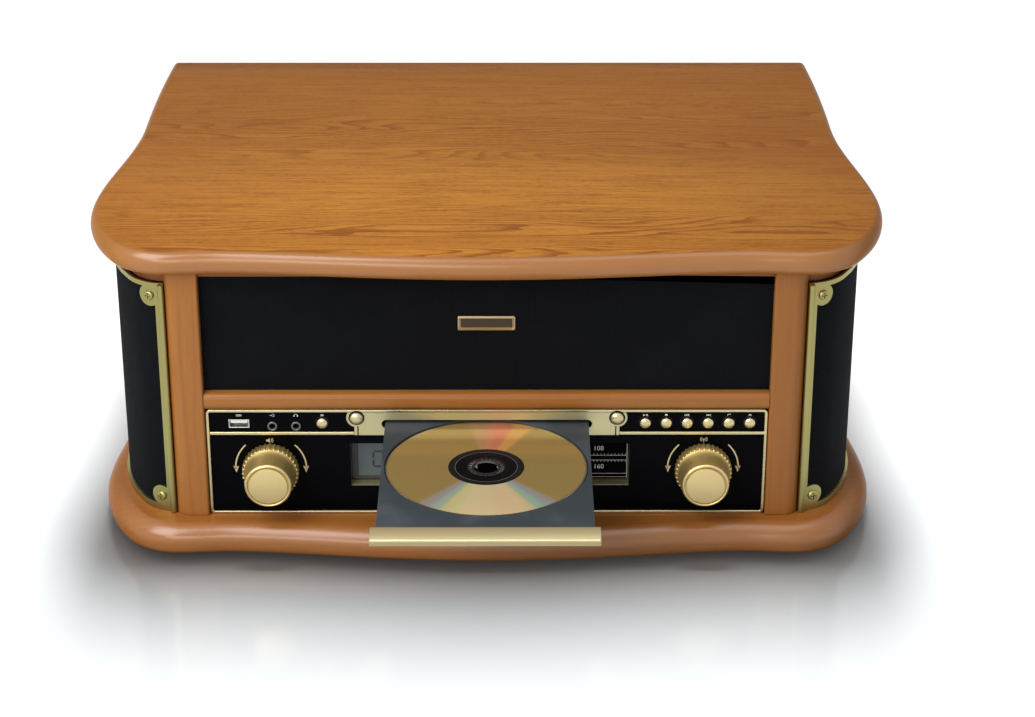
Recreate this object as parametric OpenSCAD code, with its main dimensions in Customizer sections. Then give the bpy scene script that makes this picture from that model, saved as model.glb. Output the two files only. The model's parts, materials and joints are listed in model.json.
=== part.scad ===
// Table-top stereo music centre: a wooden cabinet with a record deck under the lid,
// side speakers behind curved grilles, and a front panel with radio dial and disc tray.
// X runs to the right, Y to the rear and Z up. Before the shift in place(), Y is zero at the
// front of the control panel and Z is zero at the surface that the rubber feet stand on.

/* [Cabinet] */
// Half width of the lid and the base where they are widest
wide_w = 245; // [240:1:250]
// Narrowing of each side from the widest place to the waist
waist_in = 15.2; // [13:0.2:18]
// Narrowing of each side from the waist to the rear edge
rear_taper = 4.2; // [2:0.2:6]
// Distance from the control panel back to the rear edge
rear_y = 334; // [330:1:340]
// Radius of the broad shoulder of the outline
shoulder_r = 118; // [112:1:124]
// Radius of the front corners of the outline
corner_r = 41.7; // [39:0.1:44]
// Thickness of the lid board
lid_t = 15; // [12:1:18]
// Thickness of the base board
base_t = 19; // [16:1:22]
// How far the base stands in front of the lid
base_push = 9.5; // [4:0.5:12]
// Forward bulge at the middle of the lid
lid_bulge = 10; // [6:0.5:14]
// Forward bulge at the middle of the base
base_bulge = 12; // [6:0.5:16]
// Height of the cabinet between the base and the lid
case_h = 165; // [165:1:175]
// Height of the rubber feet
foot_h = 6; // [4:0.5:9]
// Radius of a rubber foot at its flange
foot_r = 14; // [10:1:18]
// Width of each front pillar
pillar_w = 21; // [18:1:22]
// Depth of each front pillar
pillar_d = 20; // [18:1:22]
// How far the pillars and the rail stand in front of the control panel
pillar_front = 4; // [2:0.5:6]
// Height of the rail above the control panel
rail_h = 11.2; // [9:0.2:13]
// Thickness of the frame under the lid
frame_t = 9; // [8:0.5:11]
// Thickness of the wooden side panels
side_t = 9; // [7:1:10]
// Thickness of the rear panel
rear_t = 4; // [3:0.5:4]

/* [Speakers] */
// Inset of the side grilles and panels from the lid's outline
wall_inset = 13.5; // [13:0.1:14.5]
// Thickness of a cloth-covered side grille
grille_t = 2.5; // [2:0.1:3]
// How far the metal grille trim stands proud of the cloth
trim_t = 1.7; // [1.2:0.1:2]
// Distance from the control panel to the rear end of the side grilles
grille_end = 150; // [145:1:155]
// Thickness of the boards of the speaker boxes
board_t = 8; // [6:0.5:9]
// Height of the speaker centre above the base board
driver_h = 58; // [54:1:60]
// Radius of the speaker's mounting flange
driver_r = 45; // [40:1:46]
// Depth of the speaker behind its flange
driver_d = 36; // [32:1:38]

/* [Control panel] */
// Height of the control panel
fascia_h = 72.6; // [71:0.2:76]
// Thickness of the black panel
fascia_t = 3; // [2.5:0.1:3.5]
// Width of the metal frame's bars
bar_w = 2; // [1.6:0.1:2.6]
// Thickness of the metal frame and the disc slot plate
plate_t = 1.8; // [1.2:0.1:2.2]
// Height of the divider above the base board
divider_h = 56.2; // [55.8:0.1:56.6]
// Half width of the disc slot
slot_w = 64.6; // [64.2:0.1:65]
// Left end of the display window, from the middle
window_left = 84.5; // [80:0.5:88]
// Right end of the display window, from the middle
window_right = 88; // [84:0.5:92]
// Bottom of the display window above the base board
window_h0 = 19; // [18:0.5:22]
// Top of the display window above the base board
window_h1 = 48.5; // [46:0.5:49]
// Depth of the display behind the panel
window_d = 8; // [6:0.5:9]

/* [Controls] */
// How far each knob lies outside the middle between the window and the panel's end
knob_out = 3.5; // [0:0.1:6]
// Height of the knobs above the base board
knob_h = 31.7; // [30:0.1:33]
// Radius of the fluted skirt of a knob
skirt_r = 17.6; // [16:0.1:19]
// Radius of the front rim of a knob
knob_r = 14.5; // [13:0.1:15]
// Distance from the panel to the face of a knob
knob_d = 25; // [20:0.5:28]
// Number of flutes round a knob
flutes = 36; // [24:1:44]
// Radius of the control shafts
shaft_r = 3; // [2.5:0.1:3.2]
// Radius of a push button
button_r = 3.4; // [3:0.1:4]
// Travel of a push button
button_travel = 1; // [0.8:0.1:1.2]
// Height of the button row above the base board
button_h = 63.3; // [62:0.1:64]
// Pitch of the function buttons as a share of the panel beside the slot plate
button_share = 0.141; // [0.13:0.001:0.144]
// Distance of the decorative studs from the middle
stud_x = 80; // [79:0.2:81]
// Height of the studs above the base board
stud_h = 67; // [66:0.1:67.4]

/* [Disc drive] */
// Radius of the disc
disc_r = 60; // [60:0.5:60]
// Thickness of the disc
disc_t = 1.2; // [1:0.1:1.4]
// Half width of the disc tray
tray_w = 62.5; // [62.5:0.1:63]
// Thickness of the disc tray
tray_t = 3; // [2.8:0.1:3.2]
// Height of the underside of the tray above the base board
tray_h = 60.2; // [60:0.1:60.4]
// How far the middle of the disc lies in front of the panel with the tray out
disc_out = 57; // [56:0.5:58]
// How far the tray front lies in front of the panel with the tray out
tray_out = 137; // [135:0.5:139]
// Length of tray that stays behind the panel with the tray out
tray_tail = 33; // [30:1:36]
// Height of the tray's front bezel
bezel_h = 6.8; // [6.4:0.1:7.4]
// Depth of the tray's front bezel
bezel_d = 10.8; // [9:0.2:12]
// Teeth of the loading gear
gear_teeth = 24; // [22:1:26]

/* [Record deck] */
// Depth of the deck's upper face below the lid
deck_drop = 53; // [52:1:55]
// Thickness of the deck
deck_t = 3; // [2.5:0.5:3]
// Inset of the deck moulding from the outer faces of the pillars
deck_in = 6; // [5:0.5:8]
// Radius of the platter
platter_r = 99; // [94:1:100]
// Distance of the spindle to the left of the middle
spindle_x = 25; // [23:1:27]
// Distance of the spindle behind the panel
spindle_y = 166; // [164:1:168]
// Distance from the arm pivot to the right edge of the deck moulding
pivot_in = 53; // [52:1:54]
// Distance of the arm pivot behind the panel
pivot_y = 274; // [272:1:276]
// Distance from the arm pivot to the stylus
arm_l = 207; // [205:1:208]
// Radius of the arm tube
arm_r = 4; // [3.5:0.5:4.5]

/* [Lid fittings] */
// Distance of each hinge from the middle
hinge_x = 150; // [130:5:160]
// Length of a hinge
hinge_l = 50; // [40:2:60]
// Distance from the hinge axis to both ends of the folding stay's triangle
stay_r = 80; // [78:1:82]
// Angle between those two ends with the lid closed
stay_a = 14; // [13:0.5:15]
// Opening angle of the lid
lid_open = 70; // [60:1:70]

/* [Hidden] */
$fa = 6;
$fs = 0.6;

gap = 0.3;
fit = 0.06;

// Heights
floor_z = foot_h + base_t;
lid_z = floor_z + case_h;
frame_z = lid_z - frame_t;
rail_z = floor_z + fascia_h + gap;
grille_z = rail_z + rail_h;

// Outline of the cabinet in plan
wide_y = 72;
waist_y = 215;
waist_w = wide_w - waist_in;
shoulder_a = 33;
trough_y = -9.5;
bulge_half = 160;
side_power = 1.15;
corner_x = wide_w - shoulder_r + (shoulder_r - corner_r) * cos(shoulder_a);
corner_drop = (shoulder_r - corner_r) * sin(shoulder_a);
pillar_x1 = corner_x + 3;
pillar_x0 = pillar_x1 - pillar_w;
pillar_back = pillar_d - pillar_front;
front_lip = 4;
frame_inset = wall_inset + 2;
trim_inset = wall_inset - trim_t;
wall_bottom = 4.5;
wall_top = 3;
strip_w = 5.5;
ear_r = 7;
ear_x = 9;
ear_drop = 8.5;
rear_rail_h = 11;

function smooth(t) = t * t * (3 - 2 * t);
function half_w(y, wy) = y > waist_y
    ? waist_w - rear_taper * pow((y - waist_y) / (rear_y - waist_y), 2)
    : waist_w + (wide_w - waist_w) * smooth(pow((waist_y - y) / (waist_y - wy), side_power));
function slope_w(y, wy) = half_w(y + 0.5, wy) - half_w(y - 0.5, wy);
function side_point(y, wy, d) = let (s = slope_w(y, wy), n = sqrt(1 + s * s))
    [half_w(y, wy) - d / n, y + (y == rear_y ? 0 : d * s / n)];
function shoulder_point(a, wy, d) =
    [wide_w - shoulder_r + (shoulder_r - d) * cos(a), wy - (shoulder_r - d) * sin(a)];
function corner_point(a, wy, d) =
    [corner_x + (corner_r - d) * cos(a), wy - corner_drop - (corner_r - d) * sin(a)];
function front_line(x, push, bulge) = x < bulge_half
    ? trough_y - push - bulge * pow(0.5 + 0.5 * cos(180 * x / bulge_half), 0.75)
    : let (
        t = min(1, (x - bulge_half) / (corner_x - bulge_half)),
        y1 = wide_y - push - corner_drop - corner_r)
        trough_y - push + (y1 - trough_y + push) * smooth(t);
function front_point(x, push, bulge, d) = let (
    s = x < 1 || x > corner_x - 1 ? 0
        : (front_line(x + 1, push, bulge) - front_line(x - 1, push, bulge)) / 2,
    n = sqrt(1 + s * s))
    [x - d * s / n, front_line(x, push, bulge) + d / n];
function flipped(p) = [for (i = [len(p) - 1:-1:0]) [-p[i][0], p[i][1]]];

// Half outline from the rear corner to the middle of the front, moved in by d
function half_outline(push, bulge, d) = let (wy = wide_y - push) concat(
    [for (i = [0:3]) side_point(rear_y - i * (rear_y - waist_y) / 4, wy, d)],
    [for (i = [0:9]) side_point(waist_y - i * (waist_y - wy) / 10, wy, d)],
    [for (i = [0:4]) shoulder_point(i * shoulder_a / 5, wy, d)],
    [for (i = [0:8]) corner_point(shoulder_a + i * (90 - shoulder_a) / 8, wy, d)],
    [for (i = [1:11]) front_point(corner_x * (1 - i / 12), push, bulge, d)],
    [front_point(0, push, bulge, d)]);
function outline(push, bulge, d) = let (h = half_outline(push, bulge, d))
    concat(h, [for (i = [len(h) - 2:-1:0]) [-h[i][0], h[i][1]]]);

// Board of that outline with a full round along its front and sides
module bullnose_board(push, bulge, z0, t) {
    steps = 6;
    r = t / 2;
    levels = [for (k = [0:steps]) let (a = -90 + 180 * k / steps) [r * (1 - cos(a)), z0 + r + r * sin(a)]];
    rings = [for (l = levels) outline(push, bulge, l[0])];
    n = len(rings[0]);
    points = [for (k = [0:steps]) for (p = rings[k]) [p[0], p[1], levels[k][1]]];
    sides = [for (k = [0:steps - 1]) for (i = [0:n - 2])
        [k * n + i, k * n + i + 1, (k + 1) * n + i + 1, (k + 1) * n + i]];
    top = [for (i = [0:n - 1]) steps * n + i];
    bottom = [for (i = [n - 1:-1:0]) i];
    rear = concat([n - 1], [for (k = [0:steps]) k * n], [for (k = [steps:-1:1]) k * n + n - 1]);
    polyhedron(points, concat(sides, [top, bottom, rear]), convexity = 4);
}

// Right wall line from the pillar to y_end, moved in by d from the lid's outline
function wall_line(d, y_end, x0 = pillar_x1) = let (
    a1 = acos((x0 - corner_x) / (corner_r - d)))
    concat(
        [for (i = [0:6]) corner_point(a1 + (shoulder_a - a1) * i / 6, wide_y, d)],
        [for (i = [4:-1:0]) shoulder_point(i * shoulder_a / 5, wide_y, d)],
        [for (i = [1:8]) if (wide_y + i * 11 < y_end - 4) side_point(wide_y + i * 11, wide_y, d)],
        y_end < waist_y ? [side_point(y_end, wide_y, d)]
            : concat(
                [for (i = [9:13]) side_point(wide_y + i * 11, wide_y, d)],
                [for (i = [1:5]) side_point(waist_y + (y_end - waist_y) * i / 5, wide_y, d)]));
function reversed(p) = [for (i = [len(p) - 1:-1:0]) p[i]];

module wall_shape(d0, d1, y_end) {
    polygon(concat(wall_line(d0, y_end), reversed(wall_line(d1, y_end))));
}

// Everything is drawn from the control panel and shifted so that Y is zero at mid depth
hinge_y = rear_y + 3.4;
knuckle_r = 3.2;
front_ext = -(tray_out + bezel_d);
rear_ext = hinge_y + knuckle_r;
y_mid = (front_ext + rear_ext) / 2;

module place() {
    translate([0, -y_mid, 0]) children();
}

module both_sides() {
    children();
    mirror([1, 0, 0]) children();
}

// Cylinder along Y from y0 to y1
module rod_y(x, z, y0, y1, r) {
    translate([x, y1, z]) rotate([90, 0, 0]) cylinder(r = r, h = y1 - y0);
}

// Cylinder along X from x0 to x1
module rod_x(y, z, x0, x1, r) {
    translate([x0, y, z]) rotate([0, 90, 0]) cylinder(r = r, h = x1 - x0);
}

module block(x0, y0, z0, x1, y1, z1) {
    translate([x0, y0, z0]) cube([x1 - x0, y1 - y0, z1 - z0]);
}

// Flat rounded rectangle with separate radii at the front and at the rear
module round_rect(x0, y0, x1, y1, rf, rr) {
    difference() {
        translate([x0, y0]) square([x1 - x0, y1 - y0]);
        translate([x0 - 1, y0 - 1]) square([rf + 1, rf + 1]);
        translate([x1 - rf, y0 - 1]) square([rf + 1, rf + 1]);
        translate([x0 - 1, y1 - rr]) square([rr + 1, rr + 1]);
        translate([x1 - rr, y1 - rr]) square([rr + 1, rr + 1]);
    }
    for (x = [x0 + rf, x1 - rf]) translate([x, y0 + rf]) circle(r = rf);
    for (x = [x0 + rr, x1 - rr]) translate([x, y1 - rr]) circle(r = rr);
}

// Cabinet

module base_plinth() {
    color("sienna") place() bullnose_board(base_push, base_bulge, foot_h, base_t);
}

module rubber_feet() {
    foot_x = waist_w - 39.8;
    color("black") place() for (x = [-foot_x, foot_x], y = [36, rear_y - 40])
        translate([x, y, 0]) {
            cylinder(r1 = foot_r - 2, r2 = foot_r - 0.5, h = foot_h - 1.5);
            translate([0, 0, foot_h - 1.5]) cylinder(r = foot_r, h = 1.5);
        }
}

module pillar_shape() {
    r = 9;
    r_in = 1.5;
    difference() {
        translate([pillar_x0, -pillar_front]) square([pillar_w, pillar_d]);
        translate([pillar_x1 - r, -pillar_front - 1]) square([r + 1, r + 1]);
        translate([pillar_x0 - 1, -pillar_front - 1]) square([r_in + 1, r_in + 1]);
    }
    translate([pillar_x1 - r, r - pillar_front]) circle(r = r);
    translate([pillar_x0 + r_in, r_in - pillar_front]) circle(r = r_in);
}

module front_pillars() {
    color("peru") place() both_sides()
        translate([0, 0, floor_z]) linear_extrude(case_h) pillar_shape();
}

module middle_rail() {
    r = 4;
    depth = 14;
    color("peru") place() translate([-pillar_x0, 0, rail_z]) rotate([90, 0, 90])
        linear_extrude(2 * pillar_x0) {
            translate([r - pillar_front, 0]) square([depth, rail_h]);
            translate([-pillar_front, r]) square([r + 1, rail_h - 2 * r]);
            for (z = [r, rail_h - r]) translate([r - pillar_front, z]) circle(r = r);
        }
}

deck_w = pillar_x1 - deck_in;
pivot_x = deck_w - pivot_in;
deck_front = 10.5;
deck_rear = rear_y - 12;
deck_rf = 40;
deck_rr = 12;
deck_wall = 2.5;

module frame_shape() {
    side = concat([[pillar_x1, 0]], wall_line(frame_inset, rear_y));
    difference() {
        polygon(concat([[0, 0]], side, flipped(side)));
        both_sides() translate([pillar_x0, -pillar_front - 1]) square([pillar_w, pillar_d + 1]);
        round_rect(-deck_w - gap, deck_front - gap, deck_w + gap, deck_rear + gap,
            deck_rf + gap, deck_rr + gap);
    }
}

module top_frame() {
    rail_x = half_w(rear_y, wide_y) - wall_inset - side_t - 0.8;
    color("chocolate") place() {
        difference() {
            translate([0, 0, frame_z]) linear_extrude(frame_t) frame_shape();
            block(-pillar_x0, -1, frame_z - 1, pillar_x0, deck_front, lid_z - front_lip);
        }
        block(-rail_x, deck_rear + gap, frame_z - rear_rail_h, rail_x, rear_y, frame_z);
    }
}

module front_grille() {
    color("black") place() block(-pillar_x0, 2, grille_z, pillar_x0, 8, lid_z - front_lip);
}

module grille_shell() {
    translate([0, 0, floor_z]) linear_extrude(case_h - frame_t)
        wall_shape(wall_inset, wall_inset + grille_t, grille_end);
}

// Place and direction of a trim screw on the wall, at x beyond the pillar
function screw_angle(x) = acos((pillar_x1 - corner_x + x) / (corner_r - trim_inset));
function screw_y(x) = wide_y - corner_drop - (corner_r - trim_inset) * sin(screw_angle(x));
screw_zs = [floor_z + ear_drop + 2, frame_z - ear_drop];

module at_screw(z) {
    translate([pillar_x1 + ear_x, screw_y(ear_x), z])
        rotate([0, 0, -screw_angle(ear_x)]) rotate([0, 90, 0]) children();
}

module grille_trim() {
    intersection() {
        translate([0, 0, floor_z]) linear_extrude(case_h - frame_t)
            wall_shape(trim_inset, wall_inset, grille_end);
        union() {
            block(pillar_x1 - 1, -20, floor_z, pillar_x1 + strip_w, 40, frame_z);
            block(pillar_x1 - 1, -20, floor_z, wide_w, rear_y, floor_z + wall_bottom);
            block(pillar_x1 - 1, -20, frame_z - wall_top, wide_w, rear_y, frame_z);
            block(pillar_x1, grille_end - strip_w, floor_z, wide_w, rear_y, frame_z);
            for (z = screw_zs) at_screw(z) translate([0, 0, -8]) cylinder(r = ear_r, h = 16);
        }
    }
}

module side_grilles() {
    color("dimgray") place() both_sides() grille_shell();
}

module grille_trims() {
    color("goldenrod") place() both_sides() grille_trim();
}

module trim_screws() {
    head_r = 3.1;
    color("gold") place() both_sides() for (z = screw_zs) at_screw(z)
        translate([0, 0, 0.1]) {
            cylinder(r = head_r, h = 0.7);
            translate([0, 0, 0.7]) cylinder(r1 = head_r, r2 = head_r - 1.2, h = 0.8);
        }
}

// Speakers

box_x0 = pillar_x1 - 42;
baffle_x0 = pillar_x1 + 2;
box_y0 = 22;
box_y1 = grille_end + board_t;
deck_z = lid_z - deck_drop;
driver_z = floor_z + driver_h;
driver_y = (box_y0 + box_y1) / 2;
cone_hole_r = driver_r - 6;

module speaker_boxes() {
    color("burlywood") place() both_sides() {
        difference() {
            block(baffle_x0, box_y0, floor_z, baffle_x0 + board_t, box_y1, frame_z);
            rod_x(driver_y, driver_z, baffle_x0 - 1, baffle_x0 + board_t + 1, cone_hole_r);
        }
        for (y = [box_y0, box_y1 - board_t])
            block(box_x0 + board_t, y, floor_z, baffle_x0, y + board_t, deck_z - deck_t);
        block(box_x0, box_y0, floor_z, box_x0 + board_t, rear_y - 8, deck_z - deck_t);
    }
}

// Revolved about the speaker's axis, with zero at the front of the baffle and depth inwards
module at_driver() {
    translate([baffle_x0 + board_t, driver_y, driver_z]) rotate([0, 90, 0]) children();
}

module speaker_drivers() {
    magnet_r = 26;
    magnet_t = 12;
    neck_r = 15;
    t = 1.5;
    color("darkgray") place() both_sides() at_driver() rotate_extrude() {
        translate([cone_hole_r - t - 1, 0]) square([driver_r - cone_hole_r + t + 1, 2]);
        polygon([[cone_hole_r - t - 1, 0], [cone_hole_r - 1, 0], [cone_hole_r - 1, -6],
            [neck_r + t, magnet_t - driver_d], [neck_r, magnet_t - driver_d],
            [cone_hole_r - t - 1, -6]]);
        translate([0, -driver_d]) square([magnet_r, magnet_t]);
    }
}

module speaker_cones() {
    out_r = cone_hole_r - 3;
    coil_r = 10;
    cap_r = 11;
    color("black") place() both_sides() at_driver() rotate_extrude() {
        polygon([[coil_r, 12.4 - driver_d], [coil_r + 1, 12.4 - driver_d], [cap_r + 1, -14],
            [out_r - 3, -1], [out_r, 0], [out_r, 1], [out_r - 4, 1], [cap_r, -12]]);
        polygon([[0, -13], [cap_r, -14.5], [cap_r + 1, -13], [7, -10.2], [0, -9]]);
    }
}

module side_panels() {
    color("peru") place() both_sides() translate([0, 0, floor_z]) linear_extrude(case_h - frame_t)
        intersection() {
            wall_shape(wall_inset, wall_inset + side_t, rear_y);
            translate([0, grille_end]) square([wide_w, rear_y - grille_end]);
        }
}

rear_x = half_w(rear_y, wide_y) - wall_inset - side_t - 0.8;
inlet_x = 24 - box_x0;
inlet_z = floor_z + 28;
phono_x = inlet_x + 38;
phono_bore = 1.68;

module rear_panel() {
    slots = 9;
    color("saddlebrown") place() difference() {
        block(-rear_x, rear_y - 4 - rear_t, floor_z, rear_x, rear_y - 4, frame_z - rear_rail_h);
        for (side = [-1, 1], i = [0:slots - 1])
            translate([side * 95 + (i - (slots - 1) / 2) * 9 - 1.75, rear_y - 20, deck_z - 34])
                cube([3.5, 30, 34]);
        block(inlet_x - 12.2, rear_y - 20, inlet_z - 9.2, inlet_x + 12.2, rear_y, inlet_z + 9.2);
        for (x = [phono_x, phono_x + 16])
            rod_y(x, inlet_z, rear_y - 20, rear_y, 4.2);
    }
}

module rear_sockets() {
    face = rear_y - 4;
    color("dimgray") place() {
        difference() {
            union() {
                block(inlet_x - 12, face - 14, inlet_z - 9, inlet_x + 12, face, inlet_z + 9);
                block(inlet_x - 15, face, inlet_z - 12, inlet_x + 15, face + 1.5, inlet_z + 12);
            }
            block(inlet_x - 9.5, face - 11, inlet_z - 6.5, inlet_x + 9.5, face + 2, inlet_z + 6.5);
        }
        for (x = [-6.5, 6.5]) rod_y(inlet_x + x, inlet_z, face - 11.5, face - 1, 1.3);
        difference() {
            union() {
                block(phono_x - 9, face, inlet_z - 9, phono_x + 25, face + 1.2, inlet_z + 9);
                for (x = [phono_x, phono_x + 16]) rod_y(x, inlet_z, face - 6, face + 3.8, 4);
            }
            for (x = [phono_x, phono_x + 16]) rod_y(x, inlet_z, face - 4, face + 5, phono_bore);
        }
    }
}

module power_transformer() {
    x0 = 20 - box_x0;
    y0 = 250;
    color("slategray") place() {
        block(x0, y0, floor_z, x0 + 52, y0 + 20, floor_z + 42);
        block(x0 + 7, y0 - 8, floor_z + 6, x0 + 45, y0 + 28, floor_z + 36);
        block(x0 - 8, y0 + 4, floor_z, x0 + 60, y0 + 16, floor_z + 2);
    }
}

// Control panel

panel_half = pillar_x0 - 0.4;
divider_z = floor_z + divider_h;
slot_z0 = floor_z + tray_h - gap;
slot_z1 = slot_z0 + 5.7;
plate_half = 81.5;
ear_plate_r = 6.3;
window_z0 = floor_z + window_h0;
window_z1 = floor_z + window_h1;
knob_z = floor_z + knob_h;
button_z = floor_z + button_h;
stud_z = floor_z + stud_h;
panel_span = panel_half - plate_half;
knob_x = (window_right + panel_half) / 2 + knob_out;
button_x = plate_half + 0.1746 * panel_span;
button_pitch = button_share * panel_span;
record_x = plate_half + 0.216 * panel_span;
usb_x = -plate_half - 0.778 * panel_span;
usb_z = floor_z + 62.4;
usb_w = 12.6;
usb_h = 5.6;
jack_z = floor_z + 60.7;
jack_x = [-plate_half - 0.554 * panel_span, -plate_half - 0.394 * panel_span];
jack_bore = 1.85;
jack_r = 3.1;
bush_r = 3.6;
bush_front = 2;

// Shapes below are flat drawings of the panel, with Z drawn upwards
module on_panel(y0, y1) {
    translate([0, y1, 0]) rotate([90, 0, 0]) linear_extrude(y1 - y0) children();
}

module slot_shape(grow) {
    r = (slot_z1 - slot_z0) / 2 + grow;
    for (s = [-1, 1]) translate([s * (slot_w + grow - r), (slot_z0 + slot_z1) / 2]) circle(r = r);
    translate([r - slot_w - grow, slot_z0 - grow])
        square([2 * (slot_w + grow - r), slot_z1 - slot_z0 + 2 * grow]);
}

module slot_plate_shape() {
    top = floor_z + fascia_h - bar_w;
    intersection() {
        union() {
            translate([-plate_half, divider_z - bar_w / 2 - 0.1])
                square([2 * plate_half, top - divider_z + bar_w / 2 + 0.1]);
            for (s = [-1, 1]) translate([s * stud_x, stud_z]) circle(r = ear_plate_r);
        }
        translate([-panel_half, floor_z]) square([2 * panel_half, top - floor_z]);
    }
}

module panel_fascia() {
    color("black") place() difference() {
        block(-panel_half, 0, floor_z, panel_half, fascia_t, floor_z + fascia_h);
        on_panel(-1, fascia_t + 1) slot_shape(0.2);
        block(-window_left, -1, window_z0, window_right, fascia_t + 1, window_z1);
        block(usb_x - usb_w / 2 - 0.1, -1, usb_z - usb_h / 2 - 0.1,
            usb_x + usb_w / 2 + 0.1, fascia_t + 1, usb_z + usb_h / 2 + 0.1);
        for (x = jack_x) rod_y(x, jack_z, -1, fascia_t + 1, jack_r + 0.1);
        for (s = [-1, 1]) rod_y(s * knob_x, knob_z, -1, fascia_t + 1, bush_r + 0.1);
        rod_y(-record_x, button_z, -1, fascia_t + 1, button_r + gap);
        for (i = [0:5]) rod_y(button_x + i * button_pitch, button_z, -1, fascia_t + 1, button_r + gap);
    }
}

module fascia_frame() {
    r = 3;
    color("goldenrod") place() on_panel(-plate_t, 0) {
        difference() {
            translate([0, floor_z]) round_rect(-panel_half, 0, panel_half, fascia_h, r, r);
            translate([0, floor_z]) round_rect(bar_w - panel_half, bar_w, panel_half - bar_w,
                fascia_h - bar_w, 1, 1);
        }
        both_sides() translate([plate_half, divider_z - bar_w / 2 - 0.1])
            square([panel_half - bar_w - plate_half, bar_w + 0.2]);
    }
}

module disc_slot_plate() {
    color("goldenrod") place() on_panel(-plate_t, 0) difference() {
        slot_plate_shape();
        slot_shape(0);
        both_sides() translate([plate_half - 2.6, floor_z]) square([0.7, divider_h + 5]);
    }
}

module decorative_studs() {
    r = 4.1;
    dome = 1.9;
    sphere_r = (r * r + dome * dome) / (2 * dome);
    color("goldenrod") place() both_sides() translate([stud_x, -plate_t, stud_z]) rotate([90, 0, 0]) {
        cylinder(r = r, h = 1.2);
        translate([0, 0, 1.2]) intersection() {
            translate([0, 0, dome - sphere_r]) sphere(r = sphere_r);
            cylinder(r = r, h = dome + 1);
        }
    }
}

module usb_socket() {
    t = 0.5;
    depth = 13;
    color("silver") place() {
        difference() {
            block(usb_x - usb_w / 2, -0.4, usb_z - usb_h / 2,
                usb_x + usb_w / 2, depth + 1, usb_z + usb_h / 2);
            block(usb_x - usb_w / 2 + t, -1, usb_z - usb_h / 2 + t,
                usb_x + usb_w / 2 - t, depth, usb_z + usb_h / 2 - t);
        }
        block(usb_x - usb_w / 2 + 1, 1, usb_z + 0.2,
            usb_x + usb_w / 2 - 1, depth + 0.5, usb_z + usb_h / 2 - 0.8);
    }
}

module audio_jacks() {
    color("dimgray") place() for (x = jack_x) difference() {
        union() {
            rod_y(x, jack_z, -0.7, 6, jack_r);
            block(x - 4, fascia_t, jack_z - 5, x + 4, board_y, jack_z + 4);
        }
        rod_y(x, jack_z, -2, 12, jack_bore);
    }
}

// Display

surround_t = 2.2;
scale_x0 = -19;
module_gap = 0.2;

module display_surround() {
    back = window_d + 3;
    color("darkgoldenrod") place() difference() {
        block(-window_left - surround_t, fascia_t, window_z0 - surround_t,
            window_right + surround_t, back, window_z1 + surround_t);
        block(-window_left, fascia_t - 1, window_z0, window_right, back + 1, window_z1);
    }
}

module display_block(x0, x1, y0, y1) {
    z0 = window_z0 + module_gap;
    z1 = window_z1 - module_gap;
    block(x0, y0, z0, x1, y1, z1);
}

module lcd_module() {
    color("slategray") place() difference() {
        display_block(module_gap - window_left, scale_x0 - module_gap, window_d, window_d + 5);
        block(-window_left + 4, window_d - 1, window_z0 + 2.5,
            scale_x0 - 4, window_d + 0.6, window_z1 - 2);
    }
}

module dial_scale() {
    color("black") place() {
        display_block(scale_x0, window_right - module_gap, window_d + 1, window_d + 3);
        block(scale_x0, window_d + 0.2, window_z1 - 3,
            window_right - module_gap, window_d + 1, window_z1 - 1.6);
    }
}

pointer_x = 34;

module dial_pointer() {
    z1 = window_z1 - 3.3;
    color("red") place() {
        block(pointer_x - 0.6, window_d - 0.1, window_z0 + 2,
            pointer_x + 0.6, window_d + 0.7, z1);
        block(pointer_x - 3, window_d - 0.9, z1 - 3, pointer_x + 3, window_d - 0.1, window_z1 - 0.6);
    }
}

board_y = 14;
pcb_t = 1.6;

module control_board() {
    low = window_z1 + surround_t + 0.5;
    mid_top = tray_z - gap - 2.5;
    high = floor_z + fascia_h - 1.6;
    lobe_x = plate_half + 6.5;
    edge_x = panel_half - 4.6;
    pot = 8.5;
    switch_w = 3;
    switch_y = board_y - 3.4;
    color("darkgreen") place() {
        difference() {
            union() {
                block(-edge_x, board_y, low, edge_x, board_y + pcb_t, mid_top);
                for (s = [-1, 1])
                    block(min(s * lobe_x, s * edge_x), board_y, low, max(s * lobe_x, s * edge_x),
                        board_y + pcb_t, high);
                for (s = [-1, 1]) {
                    block(s * knob_x - 15, board_y, knob_z - 12, s * knob_x + 15, board_y + pcb_t, low + 1);
                    block(s * knob_x - pot, 5.6, knob_z - pot, s * knob_x + pot, board_y + 0.1, knob_z + pot);
                    rod_y(s * knob_x, knob_z, -bush_front, 6, bush_r);
                }
            }
            for (s = [-1, 1]) rod_y(s * knob_x, knob_z, -5, board_y - 1, shaft_r + fit);
        }
        for (x = concat([-record_x], [for (i = [0:5]) button_x + i * button_pitch]))
            block(x - switch_w, switch_y, button_z - switch_w,
                x + switch_w, board_y + 0.1, button_z + switch_w);
    }
}

// Push button: domed cap, a flange behind the panel and a stem that reaches its switch
module push_button(x) {
    dome = 1.1;
    cap_y = 2.2;
    sphere_r = (button_r * button_r + dome * dome) / (2 * dome);
    flange_y = fascia_t + gap;
    color("goldenrod") place() {
        translate([x, -cap_y, button_z]) rotate([90, 0, 0]) intersection() {
            translate([0, 0, dome - sphere_r]) sphere(r = sphere_r);
            translate([0, 0, -0.5]) cylinder(r = button_r, h = dome + 1);
        }
        rod_y(x, button_z, -cap_y, flange_y, button_r);
        rod_y(x, button_z, flange_y, flange_y + 1, button_r + 1.1);
        rod_y(x, button_z, flange_y, board_y - 3.4 - gap - button_travel, 1.5);
    }
}

module record_button() {
    push_button(-record_x);
}

module play_button() {
    push_button(button_x);
}

module stop_button() {
    push_button(button_x + button_pitch);
}

module skip_back_button() {
    push_button(button_x + 2 * button_pitch);
}

module skip_forward_button() {
    push_button(button_x + 3 * button_pitch);
}

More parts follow.
